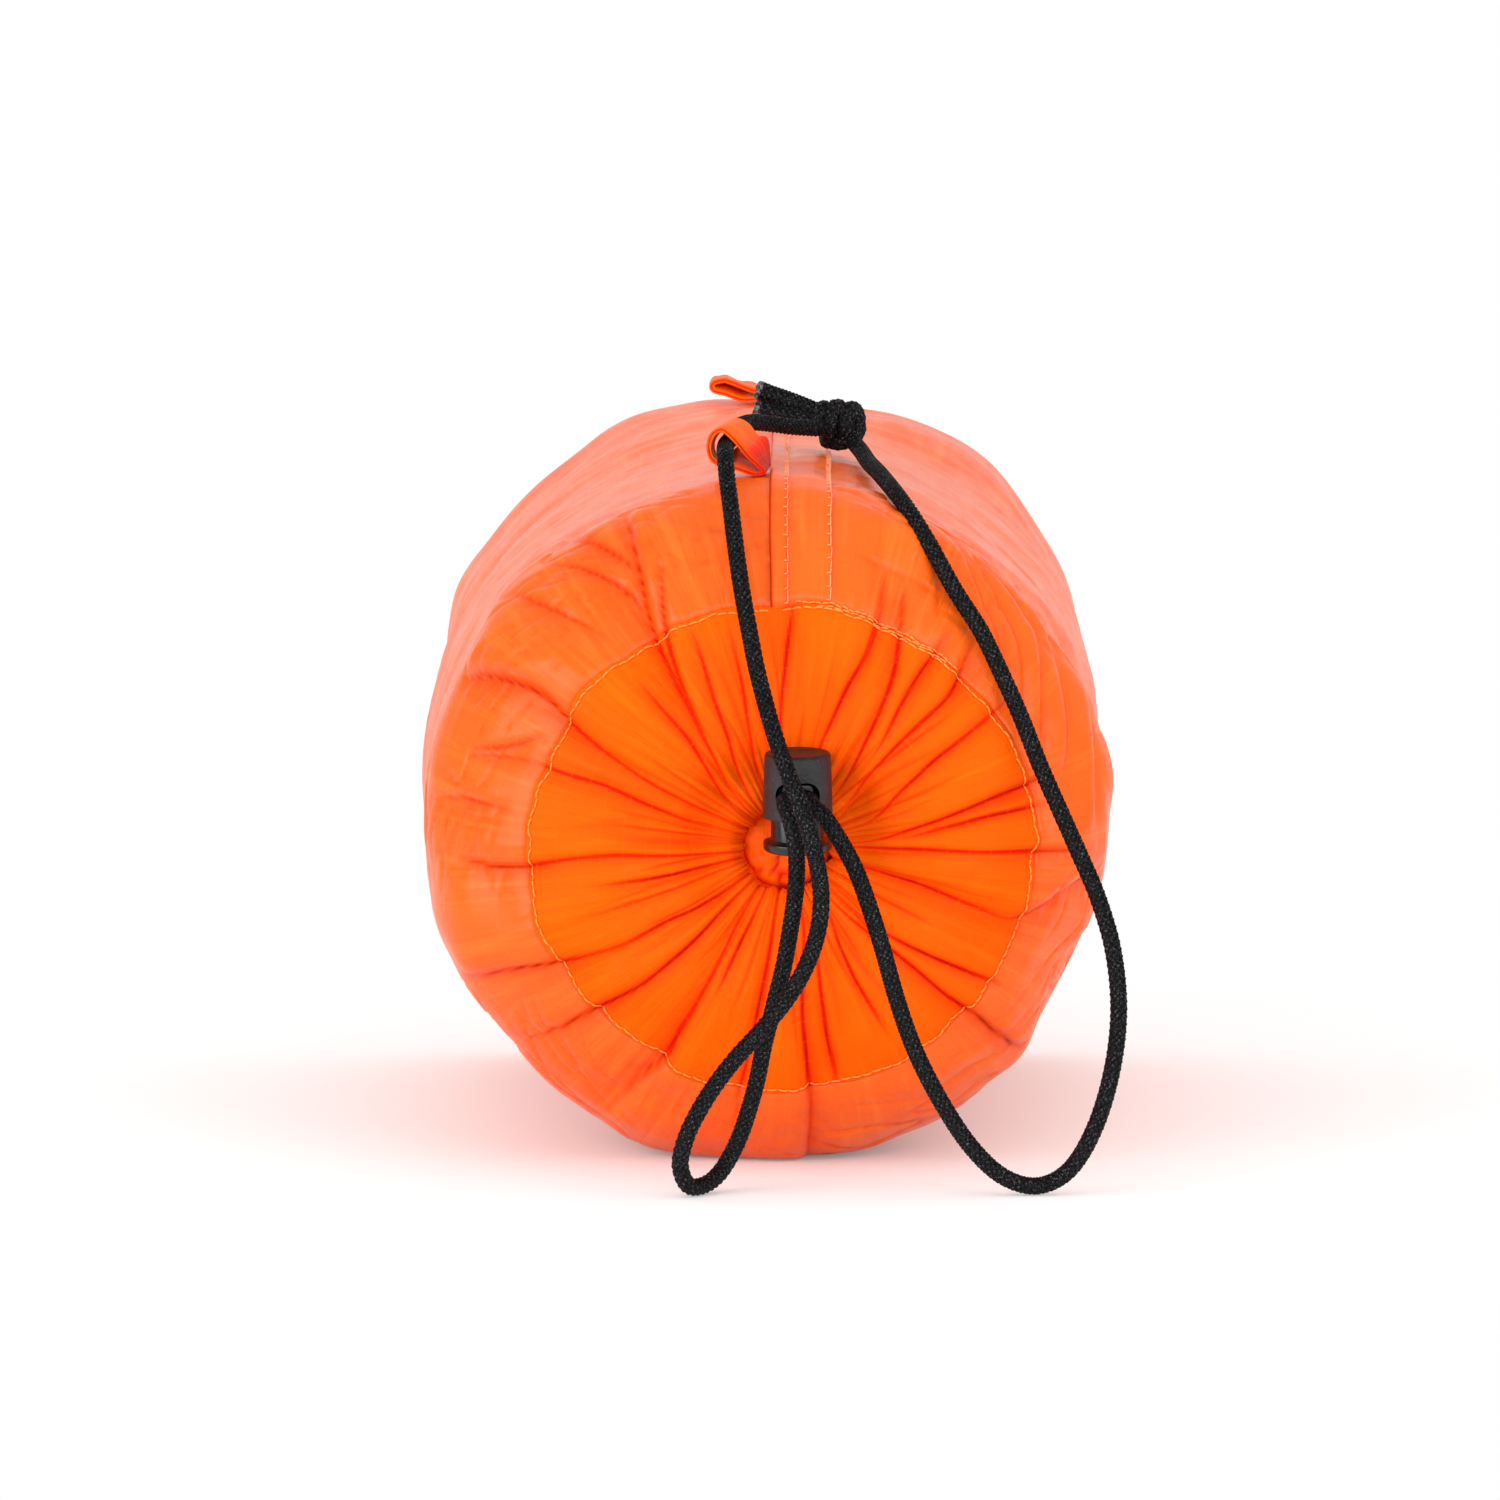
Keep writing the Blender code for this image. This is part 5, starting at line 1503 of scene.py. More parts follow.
@dataclass
class HangLoop:
    """A hang loop of folded cloth, sewn into the top seam, that folds about its root."""

    name: str
    body: str
    y: float
    reach: float
    rise: float
    droop: float
    belly: float
    slope: float
    base_height: float
    near_rise: float = 1.0
    far_rise: float = 1.0
    far_lift: float = 0.0
    lift_reach: float = 0.74
    root_shade: float = 0.0
    swing: Point = (0.0, 0.0, 0.0)
    cloth: float = 1.2
    width: float = 10.0
    gap: float = 0.4
    seam_left: float = 0.5

    def middle_lines(self) -> tuple[Array, Array]:
        """The middle lines of the near and the far edge, in (x, z) from the line it folds on."""
        root = (self.cloth + self.gap) / 2
        tip = -self.reach + self.cloth / 2
        top = self.rise - self.cloth / 2
        # x, z and how far the band's twist swings the far edge there
        chosen = [
            (root, 0, 0.2),
            (0, root, 0.4),
            (tip * self.slope / 2, root + (top - root) * 0.24, 0.9),
            (tip * self.slope, root + (top - root) * 0.62, 1.0),
            (tip * (self.slope + 0.19), root + (top - root) * 0.90, 1.0),
            (tip * 0.76, top, 0.8),
            (tip * 0.94, top * 0.86, 0.5),
            (tip, top * 0.58, 0.2),
            (tip * 0.93, top * 0.28, 0.1),
            (tip * 0.72, self.belly, 0.1),
            (tip * 0.42, self.droop, 0.1),
            (tip * 0.15, -root * 1.02, 0.1),
            (0, -root, 0.1),
        ]
        both = []
        for x, z, share in chosen:
            low = z * self.near_rise if z > 0 else z
            high = z * self.far_rise if z > 0 else z
            if z < self.rise * 0.35:
                part = min(1.0, abs(x / tip) / self.lift_reach)
                high = high + self.far_lift * abs(math.sin(math.pi * part)) ** 1.4
            both.append((x, low, x + self.swing[0] * share, high + self.swing[2] * share))
        line = smooth_line(both, 0.5, closed=True)
        return line[:, :2], line[:, 2:]

    def build(self) -> Piece:
        """Builds the loop: a twisted band of two layers with turned-in edges."""
        half = self.cloth / 2
        root = (self.cloth + self.gap) / 2 + half
        axis_x = self.seam_left - self.gap - root - 0.2
        axis_z = self.base_height + self.gap + root
        near, far = self.middle_lines()
        # Across the band: outer face, a turned edge with the slit between its layers, inner face
        face = np.linspace(-0.46, 0.46, 15)
        outer = [(1.0 - 0.16 * math.cos(f * 2 * math.pi), f) for f in face]
        edge = [(0.8, 0.492), (0.42, 0.5), (0.0, 0.462), (-0.42, 0.5), (-0.8, 0.492)]
        inner = [(-1.0, f) for f in face[::-1]]
        section = outer + edge + inner + [(-u, -v) for u, v in edge]
        rows = []
        spots = np.arange(len(near))
        for u, v in section:
            line = near + (far - near) * (v + 0.5)
            along = np.roll(line, -1, axis=0) - np.roll(line, 1, axis=0)
            along /= np.linalg.norm(along, axis=1)[:, None]
            rooted = np.hypot(line[:, 0], line[:, 1])
            wide = 0.74 + 0.26 * smooth_step(np.clip(rooted / 6.0, 0, 1))
            flat = 0.8 + 0.2 * smooth_step(np.clip(rooted / 3.2, 0, 1))
            ripple = 0.16 * value_noise(np.stack([spots * 0.09, 0 * spots + v * 1.4, 0 * spots], 1), 61)
            offset = (u * half + ripple) * flat
            x = axis_x + line[:, 0] - offset * along[:, 1]
            y = self.y + v * self.width * wide + self.swing[1] * (0.5 - v) * (1 - wide) * 4
            rows.append(np.stack([x, y, axis_z + line[:, 1] + offset * along[:, 0]], 1))
        grid = np.array(rows).transpose(1, 0, 2)
        around = np.arange(len(section) + 1) * 0.6
        cloth = grid_of(around, spots * 0.5)
        # Painted shade in the slit between the turned edge's layers, and a little on the rest of the band
        slit = np.array([0.9 if abs(u) < 0.1 and abs(v) < 0.48 else 0.06 for u, v in section])
        # Towards its root the band lies in the shade of its own folds, most of all its inner face
        shaded = np.array([1.9 if u < -0.9 else 1.0 for u, v in section])
        close = np.exp(-((np.hypot(near[:, 0], near[:, 1]) / (0.5 * self.reach)) ** 2))
        fold = np.maximum(slit[None, :], self.root_shade * close[:, None] * shaded[None, :])
        name = self.name.replace("hang", "folded")
        made = sheet_mesh(name, grid, cloth, fold, Finish.LOOP, join_ends=True)
        outward(made)
        return dressed(made, self.body, "loop_nylon", self.name)


# The cord


LONG_RUN: tuple[Point, ...] = (
    (12.4, -142.6, 79.6), (16.6, -143.6, 73.1), (19.9, -144.0, 66.3), (24.2, -145.0, 53.6),
    (27.8, -146.0, 41.0), (31.6, -147.0, 30.4), (36.9, -148.5, 20.0), (43.3, -150.0, 10.4),
    (50.2, -151.0, 4.0), (57.6, -151.0, 2.0), (64.4, -150.0, 5.4), (69.8, -147.5, 14.1),
    (73.5, -144.0, 25.9), (75.0, -139.5, 38.2), (73.9, -135.0, 50.5), (70.8, -130.5, 61.2),
    (67.0, -127.0, 70.1), (62.8, -123.5, 79.4), (58.6, -120.0, 88.8), (54.4, -116.5, 99.3),
    (50.1, -113.0, 108.7), (45.9, -110.5, 117.2), (40.5, -107.0, 125.5), (35.2, -102.0, 134.9),
    (30.9, -94.0, 141.6), (27.4, -82.0, 145.8), (24.6, -64.0, 148.4), (22.3, -46.0, 150.0),
    (20.8, -33.0, 151.7), (19.0, -24.9, 153.6),
)

SLACK_RUN: tuple[Point, ...] = (
    (5.2, -142.6, 78.9), (6.4, -143.8, 72.6), (6.4, -143.5, 65.1), (5.3, -142.5, 56.5), (3.8, -142.0, 47.9),
    (1.7, -142.0, 39.4), (-0.4, -142.0, 30.9), (-1.9, -142.0, 23.4), (-3.8, -142.0, 16.5),
    (-6.2, -142.5, 9.9), (-9.6, -145.0, 4.2), (-13.0, -150.0, 2.0), (-16.4, -155.0, 2.6),
    (-18.0, -157.6, 7.4), (-16.6, -157.6, 13.4), (-13.8, -156.4, 19.0), (-10.4, -154.8, 24.2),
    (-6.1, -153.4, 29.6), (-0.8, -152.4, 35.3), (4.5, -151.4, 41.8), (8.5, -150.8, 48.6),
    (11.0, -150.4, 56.0), (11.7, -150.4, 63.4), (10.8, -150.8, 70.5), (9.1, -150.4, 77.3),
    (7.0, -148.4, 83.5), (4.7, -144.8, 89.0), (2.4, -140.0, 95.0), (0.2, -134.0, 101.8),
    (-2.0, -128.5, 109.8), (-3.7, -124.0, 118.0), (-5.3, -119.0, 126.3), (-6.6, -112.8, 134.6),
    (-7.7, -106.0, 142.7), (-8.6, -99.0, 149.0), (-9.1, -91.0, 153.7), (-9.1, -80.0, 155.4),
    (-8.0, -71.0, 156.6), (-7.1, -62.0, 158.3), (-4.1, -53.0, 159.2), (-0.1, -45.0, 158.6),
    (4.7, -37.0, 157.6), (8.6, -30.6, 157.0), (11.8, -25.8, 156.7),
)


@dataclass
class LockFrame:
    """Where the cord lock sits: its own -Y is its front, and it leans a little forward."""

    x: float = 6.7
    y: float = -127.7
    z: float = 83.797
    lean: float = 6.0

    def matrix(self) -> Matrix:
        """The lock's place in the sack's frame, in millimetres."""
        leant = Matrix.Rotation(math.radians(self.lean), 4, "X")
        return Matrix.Translation((self.x, self.y, self.z)) @ leant

    def metres(self) -> Matrix:
        """The same place in metres."""
        placed = self.matrix()
        placed.translation = placed.translation * MM
        return placed

    def point(self, x: float, y: float, z: float) -> Point:
        """A point of the lock's own frame, in the sack's frame."""
        return tuple(self.matrix() @ Vector((x, y, z)))


@dataclass
class Drawcord:
    """The braided cord: the ring in the hem, the two free runs, and the knot with its cut tails."""

    lock: LockFrame = field(default_factory=LockFrame)
    diameter: float = 3.5
    carriers: int = 8
    lay: float = 13.0
    leg_apart: float = 2.65
    leg_height: float = -1.0
    barrel_radius: float = 7.2
    lip_radius: float = 13.0
    lip_y: float = -112.5
    mouth: Flat = (4.0, 71.0)
    knot_centre: Point = (16.1, -20.0, 157.9)
    knot_turns: tuple[tuple[Point, ...], ...] = (
        (
            (-6.1, -2.0, -0.1), (-4.9, -3.2, 1.3), (-4.0, -1.2, 2.9), (-3.5, 1.9, 2.4), (-3.3, 3.8, -0.4),
            (-3.0, 2.0, -3.4), (-2.8, -1.2, -4.1), (-2.4, -3.7, -1.8), (-2.1, -3.9, 0.3), (-1.4, -2.4, 2.6),
            (-0.4, 0.8, 3.2), (0.3, 3.6, 1.3), (0.6, 3.9, -1.1), (0.6, 1.4, -4.0), (0.8, -1.8, -4.0),
            (1.2, -4.1, -2.0), (1.3, -4.2, 0.1), (1.7, -2.6, 2.4), (2.9, 0.2, 2.7), (3.8, 2.2, 0.8),
            (3.3, 1.2, -1.8),
        ),
        (
            (-2.3, -2.4, 3.3), (0.0, -3.2, 2.8), (2.5, -3.0, 1.7), (3.8, -2.4, -0.2), (3.6, -2.4, -2.4),
            (1.9, -3.4, -3.8), (-0.4, -2.0, -4.5), (-2.8, 0.4, -4.1),
        ),
    )
    knot_tails: tuple[tuple[Point, Point], ...] = (
        ((-3.0, 0.6, 1.2), (-18.2, 0.8, 6.9)),
        ((-3.0, -1.8, -1.0), (-18.6, -2.4, 2.6)),
    )

    def leg(self, side: int, forward: float) -> Point:
        """A point on one of the two legs in the lock; side is -1 left, 1 right."""
        return self.lock.point(side * self.leg_apart, -forward, self.leg_height)

    def braid(
        self, line: Array, radius: Array, sides: int, relief: float = 0.42
    ) -> tuple[Array, Array, Array]:
        """A braided surface round a line.

        Args:
            line: even points along the middle.
            radius: the cord's radius at each point.
            sides: points round it.
            relief: how far the strands stand out.

        Returns:
            The rows of points, the cloth map and the strand height as 0 to 1.
        """
        way = np.gradient(line, axis=0)
        way /= np.linalg.norm(way, axis=1)[:, None]
        side = np.array([0.3, 0.2, 1.0])
        frames = []
        for direction in way:
            side = side - direction * (side @ direction)
            side /= np.linalg.norm(side)
            frames.append((side, np.cross(direction, side)))
        first, second = (np.array(part) for part in zip(*frames))
        along = np.concatenate([[0], np.cumsum(np.linalg.norm(np.diff(line, axis=0), axis=1))])
        turn = 2 * math.pi * np.arange(sides) / sides
        round_it = self.carriers * (turn[None, :] / (2 * math.pi))
        climb = self.carriers * along[:, None] / self.lay
        a, b = round_it + climb, round_it - climb
        part_a, part_b = a - np.round(a), b - np.round(b)
        over = (np.round(a) + np.round(b)) % 2 == 0
        across, down = np.where(over, part_a, part_b), np.where(over, part_b, part_a)
        crown = np.clip(np.cos(math.pi * across * 0.92), 0, 1) ** 0.6
        crown = crown * (0.55 + 0.45 * np.cos(2 * math.pi * down * 0.8))
        reach = radius[:, None] - relief * 0.55 + relief * crown
        rows = (
            line[:, None, :]
            + reach[..., None] * np.cos(turn)[None, :, None] * first[:, None, :]
            + reach[..., None] * np.sin(turn)[None, :, None] * second[:, None, :]
        )
        wide = np.linspace(0, math.pi * self.diameter, sides + 1)
        cloth = grid_of(wide, along)
        return rows, cloth, crown

    def strand(
        self, name: str, line: Array, radius: Array, sides: int = 36, relief: float = 0.42
    ) -> Piece:
        """A closed braided tube.

        Args:
            name: the piece's name.
            line: even points along the middle.
            radius: the cord's radius at each point.
            sides: points round it.
            relief: how far the strands stand out.

        Returns:
            The new object.
        """
        rows, cloth, crown = self.braid(line, radius, sides, relief)
        return sheet_mesh(name, rows, cloth, crown, Finish.CORD, caps=True)

    def build_run(self, name: str, side: int, route: tuple[Point, ...]) -> Piece:
        """One free run, from inside the lock to the knot, lying where its solid lies.

        Args:
            name: the solid that it stands for.
            side: -1 for the left leg, 1 for the right one.
            route: the listed points.

        Returns:
            The run.
        """
        tucked = (np.array(route[-1]) * 0.45 + np.array(self.knot_centre) * 0.55).tolist()
        chosen = [self.leg(side, f) for f in (1.0, 4.0, 7.2, 9.3, 10.9)] + list(route) + [tucked]
        line = smooth_line(chosen, 0.34)
        run = self.strand(name.replace("drawcord", "braided"), line, np.full(len(line), self.diameter / 2))
        outward(run)
        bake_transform(run)
        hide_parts(name)
        tuple(np.array(self.leg(side, self.barrel_radius)) * MM)
        return run

    def build_ring(self) -> Piece:
        """The cord held in the gathered hem, with its two legs forward through the lock."""
        inside = self.barrel_radius
        right = [self.leg(1, inside - 0.4), self.leg(1, 0), self.leg(1, -7.5)]
        left = [self.leg(-1, -7.5), self.leg(-1, 0), self.leg(-1, inside - 0.4)]
        right += [(9.4, self.lip_y - 3.6, 83.9), (10.6, self.lip_y - 0.9, 82.7)]
        left = [(2.6, self.lip_y - 0.9, 84.0), (3.9, self.lip_y - 3.6, 84.0)] + left
        ring = []
        for angle in range(46, 346, 20):
            turn = math.radians(angle)
            x = self.mouth[0] + self.lip_radius * math.sin(turn)
            ring.append((x, self.lip_y, self.mouth[1] + self.lip_radius * math.cos(turn)))
        line = smooth_line(right + ring + left, 0.45)
        radius = np.full(len(line), self.diameter / 2 - 0.03)
        made = self.strand("braided_mouth_ring", line, radius, 30)
        outward(made)
        return dressed(made, "sack", "braided_cord", "drawcord_mouth_ring")

    def build_knot(self) -> list[Piece]:
        """The overhand knot of both ends, drawn tight, and its two melted tail ends."""
        middle = np.array(self.knot_centre)
        thick = self.diameter / 2
        parts = []
        for i, route in enumerate(self.knot_turns):
            line = smooth_line(np.array(route) + middle, 0.3)
            parts.append(self.strand(f"knot_turn_{i}", line, np.full(len(line), thick + 0.1), 32, 0.28))
        ends = []
        for i, (start, end) in enumerate(self.knot_tails):
            halfway = middle + (np.array(start) + end) / 2 + (0, 0, 0.25)
            line = smooth_line([middle + start, halfway, middle + end], 0.3)
            way = (line[-1] - line[-4]) / np.linalg.norm(line[-1] - line[-4])
            flare = thick + 0.26 + 0.16 * smooth_step((np.linspace(0, 1, len(line)) - 0.82) / 0.18)
            parts.append(self.strand(f"knot_tail_{i}", line, flare, 32))
            ends.append(self.melted_end(f"cord_end_{i + 1}", line[-1], way, flare[-1], 70 + i))
        knot = joined("braided_knot", parts)
        return [dressed(knot, "sack", "braided_cord", "drawcord_knot"), *ends]

    def melted_end(
        self, name: str, place: Array, way: Array, radius: float, seed: int
    ) -> Piece:
        """The melted bead on a cut tail, lumpy and a little splayed.

        Args:
            name: the piece's name.
            place: the tail's end.
            way: the tail's direction there.
            radius: the tail's radius.
            seed: for its lumps.

        Returns:
            The bead.
        """
        side = np.cross(way, [0, 1, 0])
        side /= np.linalg.norm(side)
        other = np.cross(way, side)
        columns = 28
        turn = 2 * math.pi * np.arange(columns) / columns
        rows = []
        for share, out in ((-0.5, 0.96), (0.1, 1.06), (0.5, 1.0), (0.75, 0.8), (0.9, 0.5), (0.96, 0.12)):
            ring = place + way * share + radius * out * (
                np.cos(turn)[:, None] * side[None, :] + np.sin(turn)[:, None] * other[None, :]
            )
            bump = value_noise(ring / 0.9, seed)
            rows.append(ring + way * bump[:, None] * 0.28 + (ring - place) * bump[:, None] * 0.12)
        made = sheet_mesh(name, np.array(rows), None, None, Finish.MELTED, caps=True)
        outward(made)
        return dressed(made, "sack", "braided_cord")

    def build(self) -> list[Piece]:
        """Builds the whole cord."""
        return [
            self.build_run("drawcord_long_run", 1, LONG_RUN),
            self.build_run("drawcord_slack_run", -1, SLACK_RUN),
            self.build_ring(),
            *self.build_knot(),
        ]


# The cord lock


@dataclass
class CordLock:
    """The spring cord lock: a drafted barrel, a push button with a thumb flange, and the spring."""

    frame: LockFrame = field(default_factory=LockFrame)
    top_radius: float = 7.1
    foot_radius: float = 7.5
    top: float = 8.5
    foot: float = -5.55
    bore_radius: float = 6.05
    bore_top: float = 7.0
    edge: float = 0.9
    slot_width: float = 9.4
    slot_length: float = 30.0
    slot_height: float = 6.1
    slot_corner: float = 2.9
    neck_radius: float = 5.75
    plunger_top: float = 2.45
    plunger_slot: float = -2.0
    flange_top: float = -10.7
    flange_foot: float = -12.9
    flange_radius: float = 7.35
    sides: int = 96
    press: float = 1.9

    def spun(self, name: str, outline: Sequence[Flat], finish: Finish) -> Piece:
        """Spins an outline of (radius, height) round the lock's axis into a closed piece.

        Args:
            name: the piece's name.
            outline: pairs of radius and height.
            finish: what it is made of.

        Returns:
            The new object.
        """
        bpy.ops.mesh.primitive_plane_add(size=0.001)
        made = bpy.context.view_layer.objects.active
        made.name = made.data.name = name
        mesh = made.data
        mesh.clear_geometry()
        points = [(r * MM, 0, z * MM) for r, z in outline]
        mesh.from_pydata(points, [(i, i + 1) for i in range(len(points) - 1)], [])
        only(made)
        bpy.ops.object.mode_set(mode="EDIT")
        bpy.ops.mesh.select_all(action="SELECT")
        bpy.ops.mesh.spin(steps=self.sides, angle=2 * math.pi, center=(0, 0, 0), axis=(0, 0, 1))
        bpy.ops.object.mode_set(mode="OBJECT")
        outward(made, 2e-6)
        mesh.materials.append(finish.material())
        return made

    def long_hole(self, target: Piece, height: float) -> None:
        """Cuts the long hole for both cords, with softened rims.

        Args:
            target: the piece to cut.
            height: the hole's middle, along the lock's axis.
        """
        bpy.ops.mesh.primitive_cube_add(size=1)
        tool = bpy.context.view_layer.objects.active
        only(tool)
        tool.scale = (self.slot_width * MM, self.slot_length * MM, self.slot_height * MM)
        tool.location = (0, 0, height * MM)
        bpy.ops.object.transform_apply(location=True, rotation=True, scale=True)
        bpy.ops.object.mode_set(mode="EDIT")
        bpy.ops.mesh.select_all(action="DESELECT")
        bpy.ops.object.mode_set(mode="OBJECT")
        for e in tool.data.edges:
            a, b = (tool.data.vertices[i].co for i in e.vertices)
            e.select = abs(a.y - b.y) > self.slot_length * MM / 2
        bpy.ops.object.mode_set(mode="EDIT")
        bpy.ops.mesh.select_mode(type="EDGE")
        bpy.ops.mesh.bevel(offset=self.slot_corner * MM, segments=10, affect="EDGES")
        bpy.ops.object.mode_set(mode="OBJECT")
        step = target.modifiers.new("long_hole", "BOOLEAN")
        step.operation, step.solver, step.object = "DIFFERENCE", "EXACT", tool
        only(target)
        bpy.ops.object.modifier_apply(modifier=step.name)
        bpy.data.objects.remove(tool)

    def finished(
        self, piece: Piece, body: str, slot: str, node: str, bevel: float
    ) -> Piece:
        """Softens the cut edges, places the piece and lets it ride.

        Args:
            piece: a piece in the lock's own frame.
            body: the body that it rides on.
            slot: not used.
            node: the solid that it stands for.
            bevel: the rims' width.

        Returns:
            The same piece.
        """
        only(piece)
        step = piece.modifiers.new("softened_rim", "BEVEL")
        step.width, step.segments = bevel * MM, 2
        step.limit_method, step.angle_limit = "ANGLE", math.radians(38)
        step.use_clamp_overlap = True
        bpy.ops.object.modifier_apply(modifier=step.name)
        piece.data.transform(self.frame.metres())
        bpy.ops.object.shade_smooth_by_angle(angle=math.radians(32))
        return dressed(piece, body, slot, node)

    @staticmethod
    def arc(centre: Flat, radius: float, start: float, end: float, steps: int) -> list[Flat]:
        """Points on a circle from one angle to another, in degrees.

        Args:
            centre: the circle's middle.
            radius: its radius.
            start: the first angle.
            end: the last angle.
            steps: how many steps lie between them.

        Returns:
            The points.
        """
        turn = np.radians(np.linspace(start, end, steps + 1))
        return [(centre[0] + radius * math.cos(a), centre[1] + radius * math.sin(a)) for a in turn]

    def build_barrel(self) -> Piece:
        """The barrel, a tapered cup open below."""
        top = self.arc((self.top_radius - self.edge, self.top - self.edge), self.edge, 90, 0, 6)
        foot = self.arc((self.foot_radius - 0.3, self.foot + 0.3), 0.3, 0, -90, 4)
        bore = [(self.bore_radius + 0.3, self.foot), (self.bore_radius, self.foot + 0.3)]
        roof = [(self.bore_radius, self.bore_top), (0, self.bore_top)]
        dish = [(0, self.top - 0.25), (3.6, self.top - 0.22), (4.4, self.top)]
        barrel = self.spun("lock_cup", [*dish, *top, *foot, *bore, *roof], Finish.BARREL)
        self.long_hole(barrel, 0.0)
        return self.finished(barrel, "lock", "lock_body_plastic", "lock_barrel", 0.22)

    def build_button(self) -> Piece:
        """The push button: stem, spring seat and a dished thumb flange."""
        rim = self.flange_radius
        outline = [
            (0, self.plunger_top + 0.9),
            (2.5, self.plunger_top + 0.9),
            (2.6, self.plunger_top + 0.75),
            (2.6, self.plunger_top),
            *self.arc((self.neck_radius - 0.4, self.plunger_top - 0.4), 0.4, 90, 0, 4),
            (self.neck_radius, self.flange_top + 0.5),
            (self.neck_radius + 0.5, self.flange_top),
            *self.arc((rim - 0.35, self.flange_top - 0.35), 0.35, 90, 0, 4),
            *self.arc((rim - 0.9, self.flange_foot + 0.9), 0.9, 0, -70, 6),
            (rim - 2.6, self.flange_foot + 0.05),
            (0, self.flange_foot),
        ]
        button = self.spun("lock_button", outline, Finish.BUTTON)
        self.long_hole(button, self.plunger_slot)
        return self.finished(button, "plunger", "lock_button_plastic", "lock_plunger", 0.15)

    def build_spring(self) -> Piece:
        """The wire spring between the stem and the barrel's cap."""
        wire, turns, radius = 0.6, 2.75, 3.9
        foot = self.plunger_top + wire / 2 + 0.3
        height = self.bore_top - 0.3 - wire / 2 - foot
        t = np.linspace(0, 1, 200)
        turn = 2 * math.pi * turns * t
        line = np.stack([radius * np.cos(turn), radius * np.sin(turn), foot + height * t], 1)
        plain = Drawcord(self.frame)
        rows, cloth, crown = plain.braid(line, np.full(len(line), wire / 2), 12, relief=0.0)
        spring = sheet_mesh("lock_coil", rows, cloth, crown, Finish.STEEL, caps=True)
        outward(spring)
        spring.data.transform(self.frame.metres())
        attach(spring, "lock")
        up = self.frame.matrix().to_3x3() @ Vector((0, 0, 1))
        top = Vector(self.frame.point(0, 0, self.bore_top - 0.3)) * MM
        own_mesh(spring)
        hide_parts("lock_spring")
        return spring

    def build(self) -> list[Piece]:
        """Builds the lock."""
        return [self.build_barrel(), self.build_button(), self.build_spring()]


# Studio


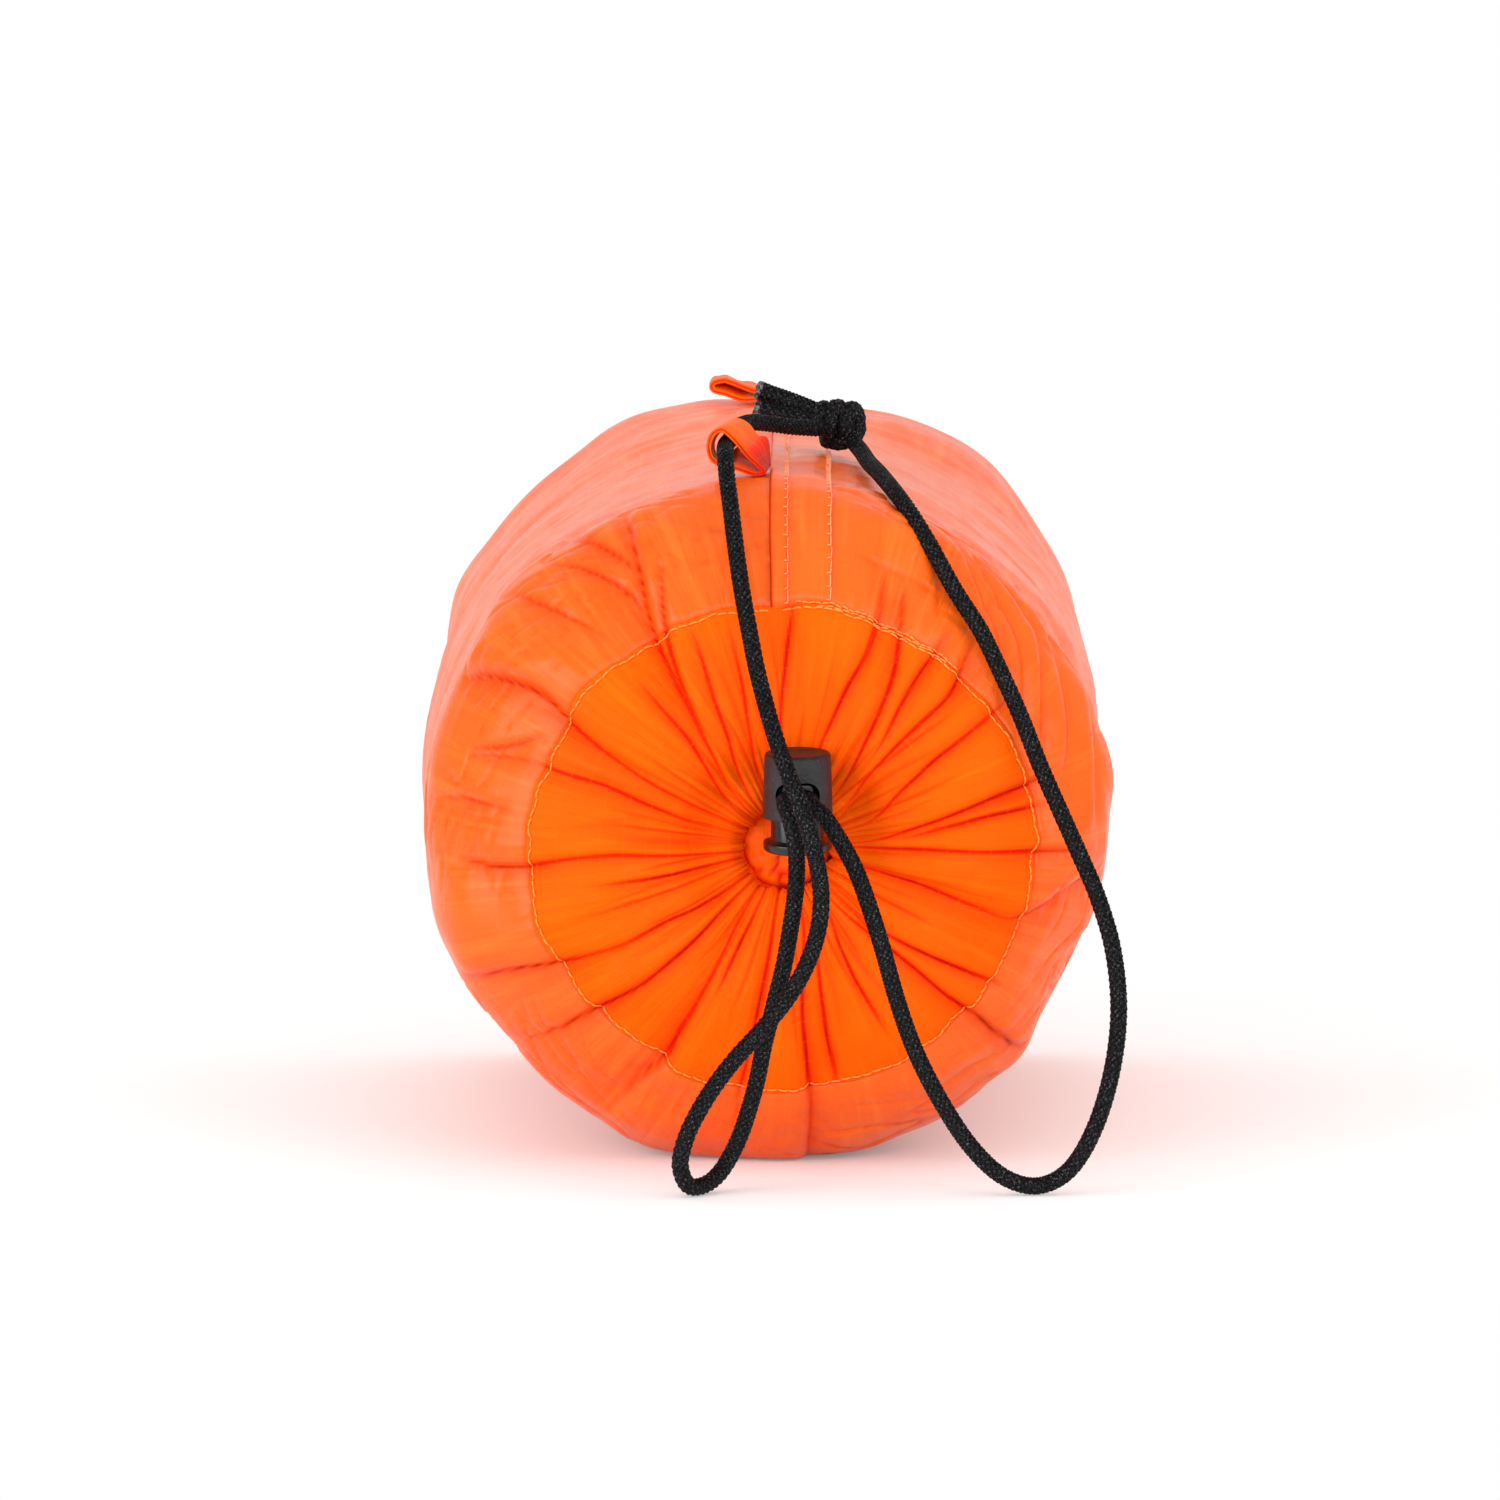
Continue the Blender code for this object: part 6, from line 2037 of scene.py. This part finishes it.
@dataclass
class Studio:
    """White sweep, soft lamps and the camera."""

    focal_pixels: float = 9200.0
    image_pixels: float = 1500.0
    sensor: float = 36.0
    eye: Point = (10.3, -2085.0, 250.7)
    shift_down: float = 743.0
    shift_left: float = 65.0
    fill: float = 0.5
    room_gloss: float = 0.15
    middle: Point = (0.0, 0.0, 0.08)

    def build_camera(self) -> Piece:
        """The camera: far back and a little above, nearly level."""
        data = bpy.data.cameras.new("camera")
        data.sensor_width = self.sensor
        data.lens = self.sensor * self.focal_pixels / self.image_pixels
        data.clip_start, data.clip_end = 0.05, 200
        camera = bpy.data.objects.new("camera", data)
        bpy.context.scene.collection.objects.link(camera)
        pitch = math.atan(self.shift_down / self.focal_pixels)
        yaw = math.atan(self.shift_left / self.focal_pixels * math.cos(pitch))
        level = math.cos(pitch)
        ahead = Vector((-math.sin(yaw) * level, math.cos(yaw) * level, -math.sin(pitch)))
        right = Vector((math.cos(yaw), math.sin(yaw), 0))
        above = right.cross(ahead)
        turned = Matrix((right, above, -ahead)).transposed().to_4x4()
        camera.matrix_world = Matrix.Translation(Vector(self.eye) * MM) @ turned
        bpy.context.scene.camera = camera
        return camera

    def white_rays(self, nodes: Nodes) -> Socket:
        """A value of 1 for rays that show the background: from the camera, a gloss or through something.

        Args:
            nodes: the nodes that it joins.

        Returns:
            The value.
        """
        path = add_node(nodes.tree, "LightPath").outputs
        both = nodes.math("MAXIMUM", path["Is Camera Ray"], path["Is Glossy Ray"])
        return nodes.math("MAXIMUM", both, path["Is Transmission Ray"])

    def build_world(self) -> None:
        """White behind everything, and a weaker even fill on the object, as in a room with a white sweep.

        Glossy surfaces see the white sweep behind the object and above it, and the dimmer room in front.
        """
        world = bpy.data.worlds.new("studio")
        bpy.context.scene.world = world
        nodes = Nodes(world)
        path = add_node(nodes.tree, "LightPath").outputs
        glossy = path["Is Glossy Ray"]
        through = nodes.math("MAXIMUM", path["Is Camera Ray"], path["Is Transmission Ray"])
        way = nodes.add("TexCoord", output="Generated")
        axes = add_node(nodes.tree, "SeparateXYZ", {0: way})
        ease = {"interpolation_type": "SMOOTHSTEP", "From Min": 0.4, "From Max": 0.95}
        sweep = nodes.add("MapRange", {**ease, "Value": axes.outputs["Y"]})
        seen = nodes.math("MAXIMUM", through, nodes.math("MULTIPLY", glossy, sweep))
        # The fill is stronger from above and behind, and towards the room a gloss sees less than the fill
        behind = nodes.add("VectorMath", {"operation": "DOT_PRODUCT", 0: way, 1: (0.0, 0.6, 0.8)}, "Value")
        height = nodes.spread(behind, 0.0, 1.0, self.fill, self.fill + 0.8)
        dim = nodes.add("Mix", {"data_type": "FLOAT", 0: glossy, 2: height, 3: self.room_gloss})
        strength = nodes.spread(seen, 0.0, 1.0, dim)
        background = nodes.add("Background", {"Color": WHITE, "Strength": strength})
        add_node(nodes.tree, "OutputWorld", {"Surface": background})

    def build_floor(self) -> Piece:
        """The white paper sweep, which keeps the object's shadow and the orange light from it."""
        bpy.ops.mesh.primitive_grid_add(x_subdivisions=2, y_subdivisions=120, size=2)
        floor = bpy.context.view_layer.objects.active
        floor.name = "floor"
        # Flat in front and under the object, then curving up behind it
        for vertex in floor.data.vertices:
            share = (vertex.co.y + 1) / 2
            y = -30 + 30 * share * 5 if share < 0.2 else 0.5 * (share - 0.2) / 0.8
            vertex.co = (vertex.co.x * 30, y, max(0.0, y - 0.13) ** 2 / 2.2)
        floor.data.polygons.foreach_set("use_smooth", np.ones(len(floor.data.polygons), bool))
        made = bpy.data.materials.new("white floor")
        nodes = Nodes(made)
        diffuse = nodes.add("BsdfDiffuse", {"Color": (0.8, 0.8, 0.8, 1)})
        glow = nodes.math("MULTIPLY", self.white_rays(nodes), 0.18)
        light = nodes.add("Emission", {"Color": WHITE, "Strength": glow})
        near = nodes.add("AddShader", {0: diffuse, 1: light})
        # Away from the object the floor passes into the plain white of the background
        place = nodes.add("TexCoord", output="Object")
        away = nodes.add("VectorMath", {"operation": "LENGTH", 0: place}, "Value")
        ease = {"interpolation_type": "SMOOTHSTEP", "From Min": 0.1, "From Max": 0.38}
        share = nodes.add("MapRange", {**ease, "Value": away})
        white = nodes.add("Emission", {"Color": WHITE})
        both = nodes.add("MixShader", {0: share, 1: near, 2: white})
        add_node(nodes.tree, "OutputMaterial", {"Surface": both})
        floor.data.materials.append(made)
        return floor

    def build_lamp(self, name: str, place: Point, size: Flat, watts: float) -> Piece:
        """One soft box, in metres, turned towards the object's middle.

        Args:
            name: the lamp's name.
            place: where it stands.
            size: its width and height.
            watts: its power.

        Returns:
            The lamp.
        """
        data = bpy.data.lights.new(name, "AREA")
        data.shape = "RECTANGLE"
        data.size, data.size_y = size
        data.energy = watts
        lamp = bpy.data.objects.new(name, data)
        bpy.context.scene.collection.objects.link(lamp)
        lamp.location = place
        lamp.rotation_euler = (Vector(self.middle) - Vector(place)).to_track_quat("-Z", "Y").to_euler()
        return lamp

    def build(self) -> None:
        """Sets up the whole studio."""
        bpy.context.scene.view_settings.view_transform = "Standard"
        self.build_camera()
        self.build_world()
        self.build_floor()
        self.build_lamp("left_box", (-1.5, -1.5, 0.45), (1.7, 1.7), 31.0)
        self.build_lamp("right_box", (1.3, -1.5, 0.45), (1.7, 1.7), 20.0)
        self.build_lamp("front_box", (-0.2, -2.2, 0.6), (1.4, 0.8), 9.0)


def main() -> None:
    """Builds the studio and every sub-assembly, and reports each piece."""
    logging.basicConfig(level=logging.INFO, format="%(name)s: %(message)s")
    Studio().build()
    cord = Drawcord()
    pieces = cord.build()
    pieces += CordLock(cord.lock).build()
    sack = Sack()
    pieces += sack.build()
    pieces += Sewing(sack).build()
    front = {"y": -80.0, "reach": 12.0, "rise": 10.8, "droop": 0.4, "belly": 1.1, "slope": 0.43}
    front |= {"base_height": 148.344, "near_rise": 0.88, "far_lift": 4.0}
    front |= {"root_shade": 0.5, "swing": (4.1, -1.0, 0.3)}
    rear = {"y": 99.0, "reach": 13.3, "rise": 6.6, "droop": -0.9, "belly": 0.5, "slope": 0.48}
    rear |= {"base_height": 156.915, "near_rise": 0.66, "far_rise": 0.7, "far_lift": 3.1, "lift_reach": 1.5}
    pieces.append(HangLoop("front_hang_loop", "front_loop", **front).build())
    pieces.append(HangLoop("rear_hang_loop", "rear_loop", **rear).build())
    for piece in pieces:
        LOG.info("%s: %d faces", piece.name, len(piece.data.polygons))
    bpy.context.view_layer.update()


if __name__ == "__main__":
    main()
